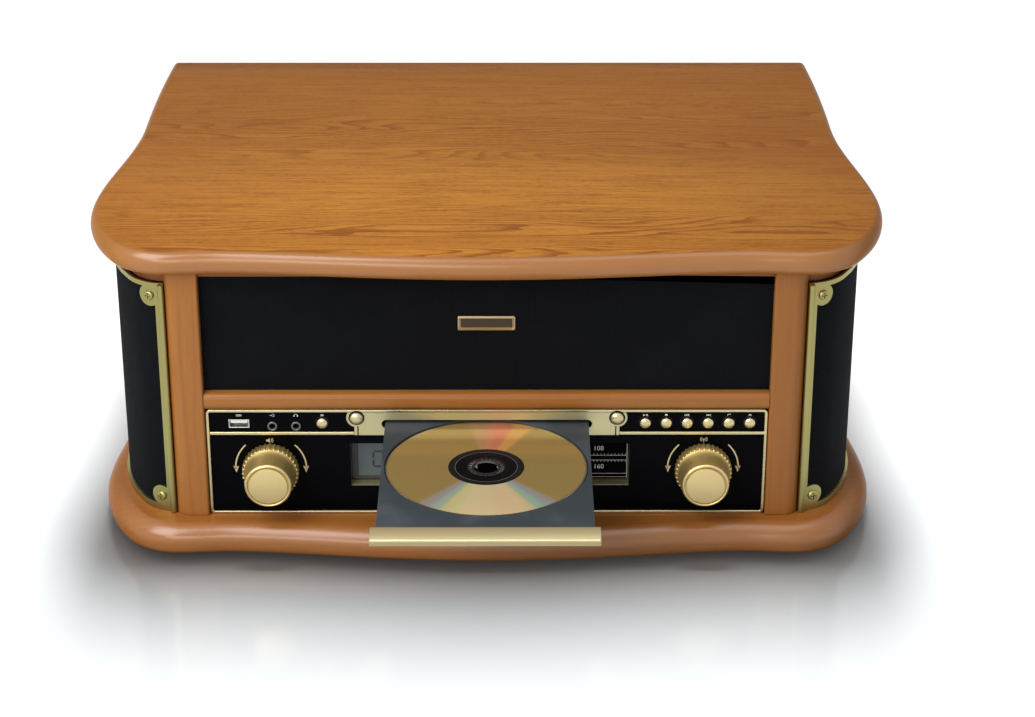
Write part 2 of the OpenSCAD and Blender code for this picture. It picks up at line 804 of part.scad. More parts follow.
module program_button() {
    push_button(button_x + 4 * button_pitch);
}

module mode_button() {
    push_button(button_x + 5 * button_pitch);
}

// Knob on its shaft, turned about its own axis, with depth measured out from the panel
module knob(x) {
    back = 0.9;
    skirt = 9;
    groove = 1.5;
    flute_r = 0.9;
    color("goldenrod") place() translate([x, 0, knob_z]) rotate([90, 0, 0]) {
        difference() {
            rotate_extrude() polygon([[bush_r + 1, back], [skirt_r, back], [skirt_r, skirt - 1],
                [skirt_r - 1, skirt], [skirt_r - 1.5, skirt], [knob_r + 0.3, skirt + 1.2],
                [knob_r, knob_d - 1.4], [knob_r - 1, knob_d - 0.2], [knob_r - groove, knob_d - 0.6],
                [knob_r - 2.2, knob_d - 0.2], [knob_r - 2.4, knob_d], [0, knob_d],
                [0, bush_front + 1], [bush_r + 1, bush_front + 1]]);
            for (i = [0:flutes - 1]) rotate([0, 0, i * 360 / flutes])
                translate([skirt_r + 0.25, 0, back - 1]) cylinder(r = flute_r, h = skirt);
        }
        translate([0, 0, 2 - board_y]) cylinder(r = shaft_r, h = board_y + bush_front);
    }
}

module volume_knob() {
    knob(-knob_x);
}

module tuning_knob() {
    knob(knob_x);
}

// Disc drive

tray_z = floor_z + tray_h;
tray_top = tray_z + tray_t;
disc_z = tray_z + 0.95;
recess_z = tray_z + 0.7;
recess_r = disc_r + 1;
tray_travel = tray_out - plate_t - 0.4;
disc_in = tray_travel - disc_out;
bezel_z = slot_z0 - 0.2;
bezel_w = slot_w + 1;
rack_t = 1.7;
pitch_x = tray_w - 1;
gear_r = gear_teeth / 2;
gear_x = -pitch_x - gear_r;
gear_y = 31;
pressure = 20;
backlash = 0.12;

module rack_tooth() {
    half = PI / 4 - backlash / 2;
    lean = tan(pressure);
    polygon([[-pitch_x + 1.3, half + 1.25 * lean], [-pitch_x + 1.25, half + 1.25 * lean],
        [-tray_w, half - lean], [-tray_w, lean - half],
        [-pitch_x + 1.25, -half - 1.25 * lean], [-pitch_x + 1.3, -half - 1.25 * lean]]);
}

module tray_opening(r) {
    translate([0, -disc_out]) circle(r = r);
    translate([-r, -disc_out]) square([2 * r, disc_r]);
}

module disc_tray() {
    teeth_front = floor((disc_in + gear_y + 26) / PI);
    color("slategray") place() difference() {
        union() {
            block(-tray_w, -tray_out, tray_z + rack_t, tray_w, tray_tail, tray_top);
            block(1.3 - pitch_x, -tray_out, tray_z, tray_w, tray_tail, tray_z + rack_t + 0.1);
            translate([0, gear_y, tray_z]) linear_extrude(rack_t)
                for (i = [0:teeth_front + 6]) if (-i * PI + 1.6 < tray_tail - gear_y)
                    translate([0, -i * PI]) rack_tooth();
        }
        translate([0, -disc_out, recess_z]) cylinder(r = recess_r, h = tray_t);
        translate([0, 0, tray_z - 1]) linear_extrude(tray_t) tray_opening(20);
    }
}

module tray_bezel() {
    lip = bezel_h / 2;
    color("goldenrod") place() translate([-bezel_w, -tray_out, bezel_z]) rotate([90, 0, 90])
        linear_extrude(2 * bezel_w)
            polygon([[0, 0], [0, bezel_h], [-1, bezel_h], [0.6 - bezel_d, lip + 0.3],
                [-bezel_d, lip - 0.4], [-bezel_d, 0.5], [0.5 - bezel_d, 0]]);
}

module compact_disc() {
    hole_r = 7.5;
    color("gold") place() translate([0, -disc_out, disc_z]) rotate_extrude()
        polygon([[hole_r, 0], [disc_r - 0.2, 0], [disc_r, 0.2], [disc_r, disc_t - 0.2],
            [disc_r - 0.2, disc_t], [hole_r, disc_t]]);
}

house_z = floor_z + 37;
house_t = 2;
house_y0 = 18;
house_y1 = tray_tail + tray_travel + 5;
house_w = tray_w + 0.5;
gear_zone = gear_y + gear_r + 4;
rod_px = 18;
rod_pz = house_z + 11;
rod_pr = 1.5;
rod_y0 = disc_in - 18;
rod_y1 = disc_in + 74;

module guide_wall(y0, y1, z1) {
    block(house_w, y0, house_z + house_t - 0.1, house_w + 3, y1, z1);
    block(house_w - 6, y0, tray_z - gap - 2.5, house_w + 0.1, y1, tray_z - gap);
}

module drive_housing() {
    top = tray_top + gap + 3.5;
    floor_x0 = gear_x - 16;
    color("gray") place() {
        difference() {
            block(floor_x0, house_y0, house_z, house_w + 3, house_y1, house_z + house_t);
            rod_z(0, disc_in, house_z - 1, house_z + house_t + 1, 5);
        }
        guide_wall(house_y0, house_y1, top);
        mirror([1, 0, 0]) guide_wall(gear_zone, house_y1, top);
        mirror([1, 0, 0]) guide_wall(house_y0, gear_zone + 0.1, tray_z - gap);
        block(house_w - 1.5, house_y0, tray_top + gap, house_w + 0.1, house_y1, top);
        mirror([1, 0, 0]) block(house_w - 1.5, gear_zone, tray_top + gap, house_w + 0.1, house_y1, top);
        for (x = [floor_x0 + 6, house_w - 3], y = [house_y0 + 7, house_y1 - 7])
            rod_z(x, y, floor_z, house_z + 0.1, 5);
        rod_z(gear_x, gear_y, house_z + house_t - 0.1, tray_z - 7.6, 4);
        rod_z(gear_x, gear_y, tray_z - 8, tray_z + rack_t + 0.8, 2.5);
        for (x = [-rod_px, rod_px]) {
            for (y = [rod_y0, rod_y1])
                block(x - 4, y - 3, house_z + house_t - 0.1, x + 4, y + 3, rod_pz + 3.5);
            rod_y(x, rod_pz, rod_y0, rod_y1, rod_pr);
        }
    }
}

module rod_z(x, y, z0, z1, r) {
    translate([x, y, z0]) cylinder(r = r, h = z1 - z0);
}

module drive_motors() {
    base = house_z + house_t;
    load_y = gear_y + gear_r + 15;
    color("silver") place() {
        rod_z(0, disc_in, base, base + 11, 11.5);
        rod_z(0, disc_in, base + 10.9, tray_z - 3.5, 2);
        rod_z(0, disc_in, tray_z - 4, tray_z - 1.6, 13);
        rod_z(0, disc_in, tray_z - 1.7, tray_z - 0.4, 7.2);
        rod_z(gear_x, load_y, base, base + 17, 7);
        rod_z(gear_x, load_y, base + 16.9, tray_z + 0.8, 2);
    }
}

module disc_clamp() {
    top = tray_top + gap + 3.5;
    color("silver") place() {
        block(-house_w - 3, disc_in - 16, top, house_w + 3, disc_in + 16, top + 1.5);
        rod_z(0, disc_in, tray_top + 0.8, top + 0.1, 13);
        rod_z(0, disc_in, top + 1.4, top + 3, 10);
    }
}

function involute(rb, t) = [rb * (cos(t) + t * PI / 180 * sin(t)), rb * (sin(t) - t * PI / 180 * cos(t))];
function turned(p, a) = [p[0] * cos(a) - p[1] * sin(a), p[0] * sin(a) + p[1] * cos(a)];
function gear_points(n) = let (
    r = n / 2, rb = r * cos(pressure), ra = r + 0.95, rf = r - 1.25,
    t_top = sqrt(pow(ra / rb, 2) - 1) * 180 / PI,
    at_pitch = tan(pressure) * 180 / PI - pressure,
    half = 90 / n - backlash / 2 / r * 90 / PI + at_pitch)
    [for (i = [0:n - 1]) let (a = (i + 0.5) * 360 / n) each concat(
        [turned([rf, 0], a - half)],
        [for (k = [0:4]) turned(involute(rb, t_top * k / 4), a - half)],
        [for (k = [4:-1:0]) let (p = involute(rb, t_top * k / 4)) turned([p[0], -p[1]], a + half)],
        [turned([rf, 0], a + half)])];

module loading_gear() {
    bore = 2.5 + fit;
    color("white") place() translate([gear_x, gear_y, 0]) difference() {
        union() {
            translate([0, 0, tray_z + 0.2]) linear_extrude(rack_t - 0.5) polygon(gear_points(gear_teeth));
            translate([0, 0, tray_z - 7.3]) cylinder(r = 4.5, h = 7.6);
        }
        translate([0, 0, tray_z - 9]) cylinder(r = bore, h = 14);
    }
}

module optical_pickup() {
    y0 = disc_in + 15;
    color("black") place() difference() {
        union() {
            block(-rod_px - 4, y0, rod_pz - 4, rod_px + 4, y0 + 20, rod_pz + 3);
            block(-12, y0 + 1, rod_pz + 2.9, 12, y0 + 19, rod_pz + 5);
            rod_z(0, y0 + 10, rod_pz + 4.9, tray_z - 2.2, 4);
        }
        for (x = [-rod_px, rod_px]) rod_y(x, rod_pz, y0 - 1, y0 + 21, rod_pr + fit);
    }
}

// Record deck

well_z = lid_z - 0.5;
motor_a = 135;
motor_dist = 80;
motor_x = motor_dist * cos(motor_a) - spindle_x;
motor_y = motor_dist * sin(motor_a) + spindle_y;
drive_r = 63;
pulley_r = 5.5;
spindle_r = 3.6;
stay_x = 7.5 - deck_w;
stay_slot = [244, 278];
rest_y = 112;
arm_z = deck_z + 31;
switch_x = deck_w - 22;
switch_y0 = 60;
lever_x = pivot_x + 15;
lever_y = pivot_y - 42;
lever_z = deck_z + 12;

module deck_shape(d) {
    round_rect(d - deck_w, deck_front + d, deck_w - d, deck_rear - d, deck_rf - d, deck_rr - d);
}

module deck_plate() {
    rest_top = arm_z - arm_r - gap;
    color("dimgray") place() difference() {
        union() {
            translate([0, 0, deck_z - deck_t]) linear_extrude(deck_t) deck_shape(0);
            translate([0, 0, deck_z - 0.1]) linear_extrude(well_z - deck_z + 0.1) difference() {
                deck_shape(0);
                deck_shape(deck_wall);
            }
            rod_z(-spindle_x, spindle_y, deck_z - 9, deck_z + 1, 7);
            block(pivot_x - 6, rest_y - 4, deck_z - 0.1, pivot_x + 8, rest_y + 4, rest_top);
            block(pivot_x + arm_r + gap, rest_y - 4, rest_top - 0.1, pivot_x + 8, rest_y + 4, arm_z + 3);
            block(lever_x - 10, lever_y - 5, deck_z - 0.1, lever_x - 4, lever_y + 5, lever_z + 4);
            rod_x(lever_y, lever_z, lever_x - 4.1, lever_x + 3, 1.5);
        }
        translate([0, 0, deck_z - 1.2]) difference() {
            translate([-spindle_x, spindle_y, 0]) cylinder(r = platter_r + 3, h = 2);
            translate([-spindle_x, spindle_y, -1]) cylinder(r = 9, h = 4);
        }
        rod_z(-spindle_x, spindle_y, deck_z - 10, deck_z + 5, spindle_r + fit);
        rod_z(motor_x, motor_y, deck_z - 10, deck_z + 5, 7);
        rod_z(switch_x, switch_y0, deck_z - 10, deck_z + 5, 3 + fit);
        rod_z(cue_x, cue_y, deck_z - 10, deck_z + 5, 2.5 + fit);
        block(stay_x - 4, stay_slot[0], deck_z - 10, stay_x + 8, stay_slot[1], deck_z + 5);
    }
}

module platter() {
    top = deck_z + 11;
    color("silver") place() translate([-spindle_x, spindle_y, 0]) rotate_extrude()
        polygon([[0, deck_z - 8], [spindle_r, deck_z - 8], [spindle_r, deck_z + 2],
            [12, deck_z + 2], [12, top - 3], [drive_r - 3, top - 3], [drive_r - 3, deck_z + 2],
            [drive_r, deck_z + 2], [drive_r, top - 3], [platter_r - 3, top - 3],
            [platter_r - 3, deck_z + 1], [platter_r, deck_z + 1], [platter_r, top - 1],
            [platter_r - 1, top], [spindle_r, top], [spindle_r, top + 12], [1.2, top + 15], [0, top + 15]]);
}

module platter_mat() {
    z = deck_z + 11;
    color("black") place() difference() {
        translate([-spindle_x, spindle_y, z]) cylinder(r = platter_r - 3, h = 2.5);
        translate([-spindle_x, spindle_y, z - 1]) cylinder(r = spindle_r + 0.4, h = 5);
    }
}

module belt_loop(grow) {
    hull() {
        translate([-spindle_x, spindle_y]) circle(r = drive_r + grow, $fn = 56);
        translate([motor_x, motor_y]) circle(r = pulley_r + grow, $fn = 24);
    }
}

module drive_belt() {
    color("black") place() translate([0, 0, deck_z + 3]) linear_extrude(4) difference() {
        belt_loop(0.9);
        belt_loop(gap);
    }
}

module deck_motor() {
    color("silver") place() difference() {
        union() {
            rod_z(motor_x, motor_y, deck_z - deck_t - 25, deck_z - deck_t - 1.9, 17);
            rod_z(motor_x, motor_y, deck_z - deck_t - 2, deck_z - deck_t, 22);
        }
        rod_z(motor_x, motor_y, deck_z - deck_t - 14, deck_z, 1 + fit);
    }
}

module motor_pulley() {
    z = deck_z + 2.5;
    color("goldenrod") place() translate([motor_x, motor_y, 0]) {
        translate([0, 0, deck_z - deck_t - 12]) cylinder(r = 1, h = deck_t + 15);
        translate([0, 0, z]) rotate_extrude() polygon([[0, 0], [pulley_r + 0.7, 0],
            [pulley_r, 0.4], [pulley_r, 4.6], [pulley_r + 0.7, 5], [0, 5]]);
    }
}

yoke_z = arm_z - 9.7;
post_r = 5;

module arm_base() {
    color("darkgray") place() difference() {
        union() {
            rod_z(pivot_x, pivot_y, deck_z, deck_z + 3, 22);
            rod_z(pivot_x, pivot_y, deck_z + 2.9, yoke_z, 14);
        }
        rod_z(pivot_x, pivot_y, deck_z + 3, yoke_z + 1, post_r + fit);
    }
}

pin_r = 1.5;
ear_in = 8;
ear_out = 11.5;

module arm_yoke() {
    color("silver") place() difference() {
        union() {
            rod_z(pivot_x, pivot_y, deck_z + 3.5, yoke_z + 1, post_r);
            rod_z(pivot_x, pivot_y, yoke_z + gap, yoke_z + 3.2, 13);
            for (s = [-1, 1]) block(pivot_x + min(s * ear_in, s * ear_out), pivot_y - 5, yoke_z + 1,
                pivot_x + max(s * ear_in, s * ear_out), pivot_y + 5, arm_z + 5);
        }
        rod_x(pivot_y, arm_z, pivot_x - 20, pivot_x + 20, pin_r + fit);
    }
}

module tonearm() {
    tip_y = pivot_y - arm_l;
    shell_a = 20;
    shell_l = 28;
    color("silver") place() {
        rod_y(pivot_x, arm_z, tip_y + 26, pivot_y, arm_r);
        block(pivot_x - ear_in + gap, pivot_y - 8, arm_z - 5, pivot_x + ear_in - gap, pivot_y + 8, arm_z + 5);
        rod_x(pivot_y, arm_z, pivot_x - ear_out, pivot_x + ear_out, pin_r);
        rod_y(pivot_x, arm_z, pivot_y + 7, pivot_y + 20, 3);
        rod_y(pivot_x, arm_z, pivot_y + 17, pivot_y + 34, 10.5);
        translate([pivot_x, tip_y + shell_l, 0]) rotate([0, 0, -shell_a]) {
            block(-8, -shell_l - 8, arm_z - 5, 8, 2, arm_z - 1);
            block(-7, -shell_l - 6, arm_z - 13, 7, 14 - shell_l, arm_z - 4.9);
            translate([0, -shell_l, arm_z - 15.7]) cylinder(r1 = 0.4, r2 = 1.5, h = 2.8);
        }
    }
}

cue_r = 45;
cue_x = pivot_x - 2;
cue_y = pivot_y - cue_r;
cue_top = arm_z - arm_r - gap;

module cue_bar() {
    color("dimgray") place() {
        translate([pivot_x, pivot_y, cue_top - 3]) linear_extrude(3) intersection() {
            difference() {
                circle(r = cue_r + 2.5);
                circle(r = cue_r - 2.5);
            }
            polygon(cue_r * [[0, 0], [0.2, -2], [-1.33, -2.67], [-2.44, -2.11]]);
        }
        rod_z(cue_x, cue_y, deck_z - 6, cue_top - 2.9, 2.5);
    }
}

module cue_lever() {
    color("silver") place() difference() {
        union() {
            rod_x(lever_y, lever_z, lever_x - 4 + gap, lever_x + 3, 4);
            translate([lever_x, lever_y, lever_z]) rotate([-8, 0, 0]) {
                translate([-2, -26, -1.5]) cube([4, 26, 3]);
                rod_y(0, 0, -30, -22, 3);
            }
        }
        rod_x(lever_y, lever_z, lever_x - 5, lever_x + 5, pin_r + fit);
    }
}

module speed_switch() {
    color("dimgray") place() translate([switch_x, switch_y0, 0]) {
        translate([0, 0, deck_z - 8]) cylinder(r = 3, h = 12);
        translate([0, 0, deck_z + gap]) cylinder(r = 9, h = 5);
        block(-2, -18, deck_z + gap, 2, 0, deck_z + 8);
    }
}

// Lid and its fittings

module lid_board() {
    color("peru") place() bullnose_board(0, lid_bulge, lid_z, lid_t);
}

leaf_t = 1.2;
middle = 8;
hinge_pin = 1.5;
leaf_h = 13;

// Both leaves of a hinge carry screws at the same places
module leaf_screws(z) {
    for (x = [-hinge_l / 2 + 6, hinge_l / 2 - 6])
        rod_y(x, z, rear_y + leaf_t - 0.1, rear_y + leaf_t + 0.5, 2.2);
}

// The stay swings in the plane X = stay_x, from a pivot on the lid over a stud on the cabinet
stay_a0 = 4.3;
stay_t = 2;
stay_half = 4.7;
stud_r = 2;
slot_half = stud_r + 0.6;
function stay_end(a) = [hinge_y - stay_r * cos(a), lid_z - stay_r * sin(a)];
lid_pivot = stay_end(stay_a0);
stay_stud = stay_end(stay_a0 + stay_a);
stay_dir = atan2(stay_stud[1] - lid_pivot[1], stay_stud[0] - lid_pivot[0]);
slot_near = 2 * stay_r * sin(stay_a / 2);
slot_far = 2 * stay_r * sin((stay_a + lid_open) / 2);
stay_left = stay_x - stay_t / 2;
stay_right = stay_x + stay_t / 2;

module cabinet_fittings() {
    color("goldenrod") place() {
        for (s = [-1, 1]) translate([s * hinge_x, 0, 0]) {
            block(-hinge_l / 2, rear_y, lid_z - knuckle_r - leaf_h, hinge_l / 2,
                rear_y + leaf_t, lid_z - knuckle_r - 0.4);
            for (x = [-hinge_l / 2, middle + gap / 2]) {
                block(x, rear_y, lid_z - knuckle_r - 1,
                    x + hinge_l / 2 - middle - gap / 2, rear_y + leaf_t, lid_z);
                rod_x(hinge_y, lid_z, x, x + hinge_l / 2 - middle - gap / 2, knuckle_r);
            }
            rod_x(hinge_y, lid_z, -hinge_l / 2, hinge_l / 2, hinge_pin);
            leaf_screws(lid_z - knuckle_r - leaf_h / 2);
        }
        block(deck_wall - deck_w, stay_stud[0] - 8, stay_stud[1] - 8, deck_wall - deck_w + 1.5,
            stay_stud[0] + 8, stay_stud[1] + 8);
        rod_x(stay_stud[0], stay_stud[1], deck_wall - deck_w + 1, stay_left - gap, stud_r + 1.5);
        rod_x(stay_stud[0], stay_stud[1], deck_wall - deck_w + 1, stay_right + 1, stud_r);
        rod_x(stay_stud[0], stay_stud[1], stay_right + gap, stay_right + 1.5, stud_r + 2);
    }
}

module lid_fittings() {
    tab = stay_right + gap;
    color("goldenrod") place() {
        for (s = [-1, 1]) translate([s * hinge_x, 0, 0]) {
            difference() {
                union() {
                    block(gap / 2 - middle, rear_y, lid_z,
                        middle - gap / 2, rear_y + leaf_t, lid_z + knuckle_r + 1);
                    rod_x(hinge_y, lid_z, gap / 2 - middle, middle - gap / 2, knuckle_r);
                    block(-hinge_l / 2, rear_y, lid_z + knuckle_r + 0.4,
                        hinge_l / 2, rear_y + leaf_t, lid_z + 13);
                }
                rod_x(hinge_y, lid_z, -middle - 1, middle + 1, hinge_pin + fit);
            }
            leaf_screws(lid_z + 9);
        }
        block(tab, lid_pivot[0] - 5, lid_pivot[1], tab + 1.5, lid_pivot[0] + 5, lid_z);
        rod_x(lid_pivot[0], lid_pivot[1], tab, tab + 1.5, 5);
        block(tab, lid_pivot[0] - 9, lid_z - 1.2, tab + 9, lid_pivot[0] + 9, lid_z);
        rod_x(lid_pivot[0], lid_pivot[1], stay_left - gap - 1, tab + 0.5, stud_r);
        rod_x(lid_pivot[0], lid_pivot[1], stay_left - gap - 1.2, stay_left - gap, stud_r + 1.5);
    }
}

module stay_arm() {
    color("silver") place() translate([stay_left, lid_pivot[0], lid_pivot[1]])
        rotate([90, 0, 90]) rotate([0, 0, stay_dir]) linear_extrude(stay_t) difference() {
            union() {
                circle(r = stay_half);
                translate([0, -stay_half]) square([slot_far, 2 * stay_half]);
                translate([slot_far, 0]) circle(r = stay_half);
            }
            circle(r = stud_r + fit);
            translate([slot_near, 0]) circle(r = slot_half);
            translate([slot_near, -slot_half]) square([slot_far - slot_near, 2 * slot_half]);
            translate([slot_far, 0]) circle(r = slot_half);
        }
}

base_plinth();
rubber_feet();
front_pillars();
middle_rail();
top_frame();
front_grille();
side_grilles();
grille_trims();
trim_screws();
speaker_boxes();
speaker_drivers();
speaker_cones();
side_panels();
rear_panel();
rear_sockets();
power_transformer();
panel_fascia();
fascia_frame();
disc_slot_plate();
decorative_studs();
usb_socket();
audio_jacks();
display_surround();
lcd_module();
dial_scale();
dial_pointer();
control_board();
record_button();
play_button();
stop_button();
skip_back_button();
skip_forward_button();
program_button();
mode_button();
volume_knob();
tuning_knob();
disc_tray();
tray_bezel();
compact_disc();
drive_housing();
drive_motors();
disc_clamp();
loading_gear();
optical_pickup();
deck_plate();
platter();
platter_mat();
drive_belt();
deck_motor();
motor_pulley();
arm_base();
arm_yoke();
tonearm();
cue_lever();
cue_bar();
speed_switch();
cabinet_fittings();
lid_board();
lid_fittings();
stay_arm();
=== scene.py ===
"""Looks of the table-top stereo music centre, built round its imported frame."""

import json
import logging
import math
from dataclasses import dataclass, field
from enum import Enum
from typing import Callable, Iterable, Sequence

import bmesh
import bpy
from bpy.types import ID, Collection, Material, Mesh, Node, NodeSocket, NodeTree, Object
from mathutils import Matrix, Vector

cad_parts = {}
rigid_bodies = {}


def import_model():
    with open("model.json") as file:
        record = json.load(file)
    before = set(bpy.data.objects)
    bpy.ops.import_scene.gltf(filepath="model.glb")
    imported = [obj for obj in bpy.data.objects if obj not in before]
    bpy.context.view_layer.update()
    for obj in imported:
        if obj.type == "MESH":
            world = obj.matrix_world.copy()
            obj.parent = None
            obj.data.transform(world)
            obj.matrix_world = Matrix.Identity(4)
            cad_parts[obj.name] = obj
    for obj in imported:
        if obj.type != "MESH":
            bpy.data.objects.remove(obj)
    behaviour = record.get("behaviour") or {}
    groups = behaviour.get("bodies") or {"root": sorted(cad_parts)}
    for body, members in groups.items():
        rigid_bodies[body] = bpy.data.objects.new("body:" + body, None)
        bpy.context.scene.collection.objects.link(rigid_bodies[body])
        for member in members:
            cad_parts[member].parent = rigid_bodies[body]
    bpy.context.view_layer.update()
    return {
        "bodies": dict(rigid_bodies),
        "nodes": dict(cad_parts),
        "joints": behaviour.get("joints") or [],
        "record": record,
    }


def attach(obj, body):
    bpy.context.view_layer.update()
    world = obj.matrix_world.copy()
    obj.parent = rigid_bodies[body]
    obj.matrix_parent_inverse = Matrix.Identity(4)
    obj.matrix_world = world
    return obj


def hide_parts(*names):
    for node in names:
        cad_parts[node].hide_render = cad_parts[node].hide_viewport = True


LOG = logging.getLogger("music_centre")
CLOTH_MAP = "Cloth"
MM = 0.001
Point = tuple[float, float, float]
Flat = tuple[float, float]

# Shift from the drawing's Y, zero at the control panel, to the frame's Y, zero at mid depth
Y_MIDDLE = 96.4

# Heights above the table, in millimetres
FOOT_TOP = 6.0
FLOOR_Z = 25.0
LID_Z = 190.0


class Body(Enum):
    """The bodies of the frame that a piece can ride on."""

    CABINET = "cabinet"
    LID = "lid"
    TRAY = "tray"
    DISC = "disc"
    VOLUME = "volume"
    TUNING = "tuning"
    TURNTABLE = "turntable"
    ARM = "arm"
    SPEED = "speed"
    POINTER = "pointer"
    STAY = "stay"
    GEAR = "gear"
    PICKUP = "pickup"
    PULLEY = "pulley"
    YOKE = "yoke"
    CUE_HANDLE = "cue_handle"
    CUE_LIFT = "cue_lift"
    RECORD_KEY = "record_key"
    PLAY_KEY = "play_key"
    STOP_KEY = "stop_key"
    BACK_KEY = "skip_back_key"
    FORWARD_KEY = "skip_forward_key"
    PROGRAM_KEY = "program_key"
    MODE_KEY = "mode_key"


class Flow(Enum):
    """The axis along which a board's grain runs, as the scale of its streaks, its figure and its width."""

    ALONG_X = ((0.055, 1.0, 1.0), (0.15, 1.0, 1.0), (0.0, 1.0, 1.0))
    ALONG_Y = ((1.0, 0.055, 1.0), (1.0, 0.15, 1.0), (1.0, 0.0, 1.0))
    ALONG_Z = ((1.0, 1.0, 0.055), (1.0, 1.0, 0.15), (1.0, 1.0, 0.0))


def placed(x: float, y: float, z: float) -> Vector:
    """A point of the drawing, in millimetres, as a point of the frame, in metres."""
    return Vector((x * MM, (y - Y_MIDDLE) * MM, z * MM))


def set_out(name: str, data: ID) -> Object:
    """Puts a new object of some data in the scene.

    Args:
        name: The object's name.
        data: Its data.

    Returns:
        The object.
    """
    made = bpy.data.objects.new(name, data)
    bpy.context.scene.collection.objects.link(made)
    return made


# Shader groups


class Graph:
    """Short calls for making nodes in one node tree."""

    def __init__(self, tree: NodeTree) -> None:
        """Keeps the tree that the nodes go in."""
        self.tree = tree

    def node(self, kind: str, **settings: object) -> Node:
        """Adds a node.

        Args:
            kind: The node's type name.
            settings: Attributes to set on it.

        Returns:
            The new node.
        """
        made = self.tree.nodes.new(kind)
        for name, value in settings.items():
            setattr(made, name, value)
        return made

    def feed(self, socket: NodeSocket, value: object) -> None:
        """Links a socket to another socket, or sets its plain value.

        Args:
            socket: The input.
            value: A socket or a plain value.
        """
        if isinstance(value, NodeSocket):
            self.tree.links.new(value, socket)
        else:
            socket.default_value = value

    def fill(self, node: Node, values: dict[str | int, object]) -> Node:
        """Feeds a node's inputs, by their names or numbers, and gives the node back.

        Args:
            node: The node.
            values: Sockets or plain values.

        Returns:
            The same node.
        """
        for key, value in values.items():
            self.feed(node.inputs[key], value)
        return node

    def math(self, operation: str, *values: object, clamp: bool = False) -> NodeSocket:
        """The result of a Math node on up to three values."""
        made = self.node("ShaderNodeMath", operation=operation, use_clamp=clamp)
        return self.fill(made, dict(enumerate(values))).outputs[0]

    def times(self, first: object, second: object) -> NodeSocket:
        """The product of two values."""
        return self.math("MULTIPLY", first, second)

    def mix(self, factor: object, first: object, second: object) -> NodeSocket:
        """A blend of two colours."""
        made = self.node("ShaderNodeMix", data_type="RGBA")
        return self.fill(made, {"Factor": factor, 6: first, 7: second}).outputs[2]

    def noise(self, vector: object, scale: object, detail: float = 2.0, rough: float = 0.5) -> NodeSocket:
        """The value of a Noise texture."""
        values = {"Vector": vector, "Scale": scale, "Detail": detail, "Roughness": rough}
        return self.fill(self.node("ShaderNodeTexNoise"), values).outputs["Fac"]

    def range(self, value: object, low: float, high: float, to_low: float = 0.0, to_high: float = 1.0) -> NodeSocket:
        """A value moved from one range to another, smoothly and clamped.

        Args:
            value: The value.
            low: Start of its range.
            high: End of its range.
            to_low: Start of the new range.
            to_high: End of the new range.

        Returns:
            The moved value.
        """
        made = self.node("ShaderNodeMapRange", interpolation_type="SMOOTHSTEP")
        return self.fill(made, {"From Min": low, "From Max": high, "To Min": to_low, "To Max": to_high,
                                "Value": value}).outputs["Result"]

    def vector(self, operation: str, first: object, second: object) -> Node:
        """A Vector Math node on two vectors."""
        return self.fill(self.node("ShaderNodeVectorMath", operation=operation), {0: first, 1: second})

    def scaled(self, vector: object, scale: object) -> NodeSocket:
        """A vector multiplied by another, axis by axis."""
        return self.vector("MULTIPLY", vector, scale).outputs[0]

    def moved(self, vector: object, offset: object) -> NodeSocket:
        """A vector with another added to it."""
        return self.vector("ADD", vector, offset).outputs[0]

    def dot(self, first: object, second: object) -> NodeSocket:
        """The dot product of two vectors."""
        return self.vector("DOT_PRODUCT", first, second).outputs["Value"]

    def parts(self, vector: object) -> tuple[NodeSocket, ...]:
        """The X, Y and Z of a vector."""
        return tuple(self.fill(self.node("ShaderNodeSeparateXYZ"), {0: vector}).outputs)

    def joined(self, x: object, y: object, z: object) -> NodeSocket:
        """A vector made from three values."""
        return self.fill(self.node("ShaderNodeCombineXYZ"), {0: x, 1: y, 2: z}).outputs[0]

    def length(self, x: object, y: object) -> NodeSocket:
        """The length of a flat vector."""
        return self.math("SQRT", self.math("ADD", *(self.math("POWER", value, 2.0) for value in (x, y))))


SocketList = Sequence[tuple[str, str, object]]


def shader_group(name: str, inputs: SocketList, outputs: Sequence[tuple[str, str]],
                 build: Callable[[Graph, Node, Node], None]) -> NodeTree:
    """Makes a shader node group with named sockets, once.

    Args:
        name: The group's name.
        inputs: Name, socket type and default value of each input.
        outputs: Name and socket type of each output.
        build: Fills the group, given its graph, input node and output node.

    Returns:
        The node group.
    """
    found = bpy.data.node_groups.get(name)
    if found:
        return found
    tree = bpy.data.node_groups.new(name, "ShaderNodeTree")
    for label, kind, value in inputs:
        socket = tree.interface.new_socket(label, in_out="INPUT", socket_type=kind)
        socket.default_value = value
    for label, kind in outputs:
        tree.interface.new_socket(label, in_out="OUTPUT", socket_type=kind)
    graph = Graph(tree)
    build(graph, graph.node("NodeGroupInput"), graph.node("NodeGroupOutput"))
    return tree


FLOAT, COLOR, VECTOR = "NodeSocketFloat", "NodeSocketColor", "NodeSocketVector"


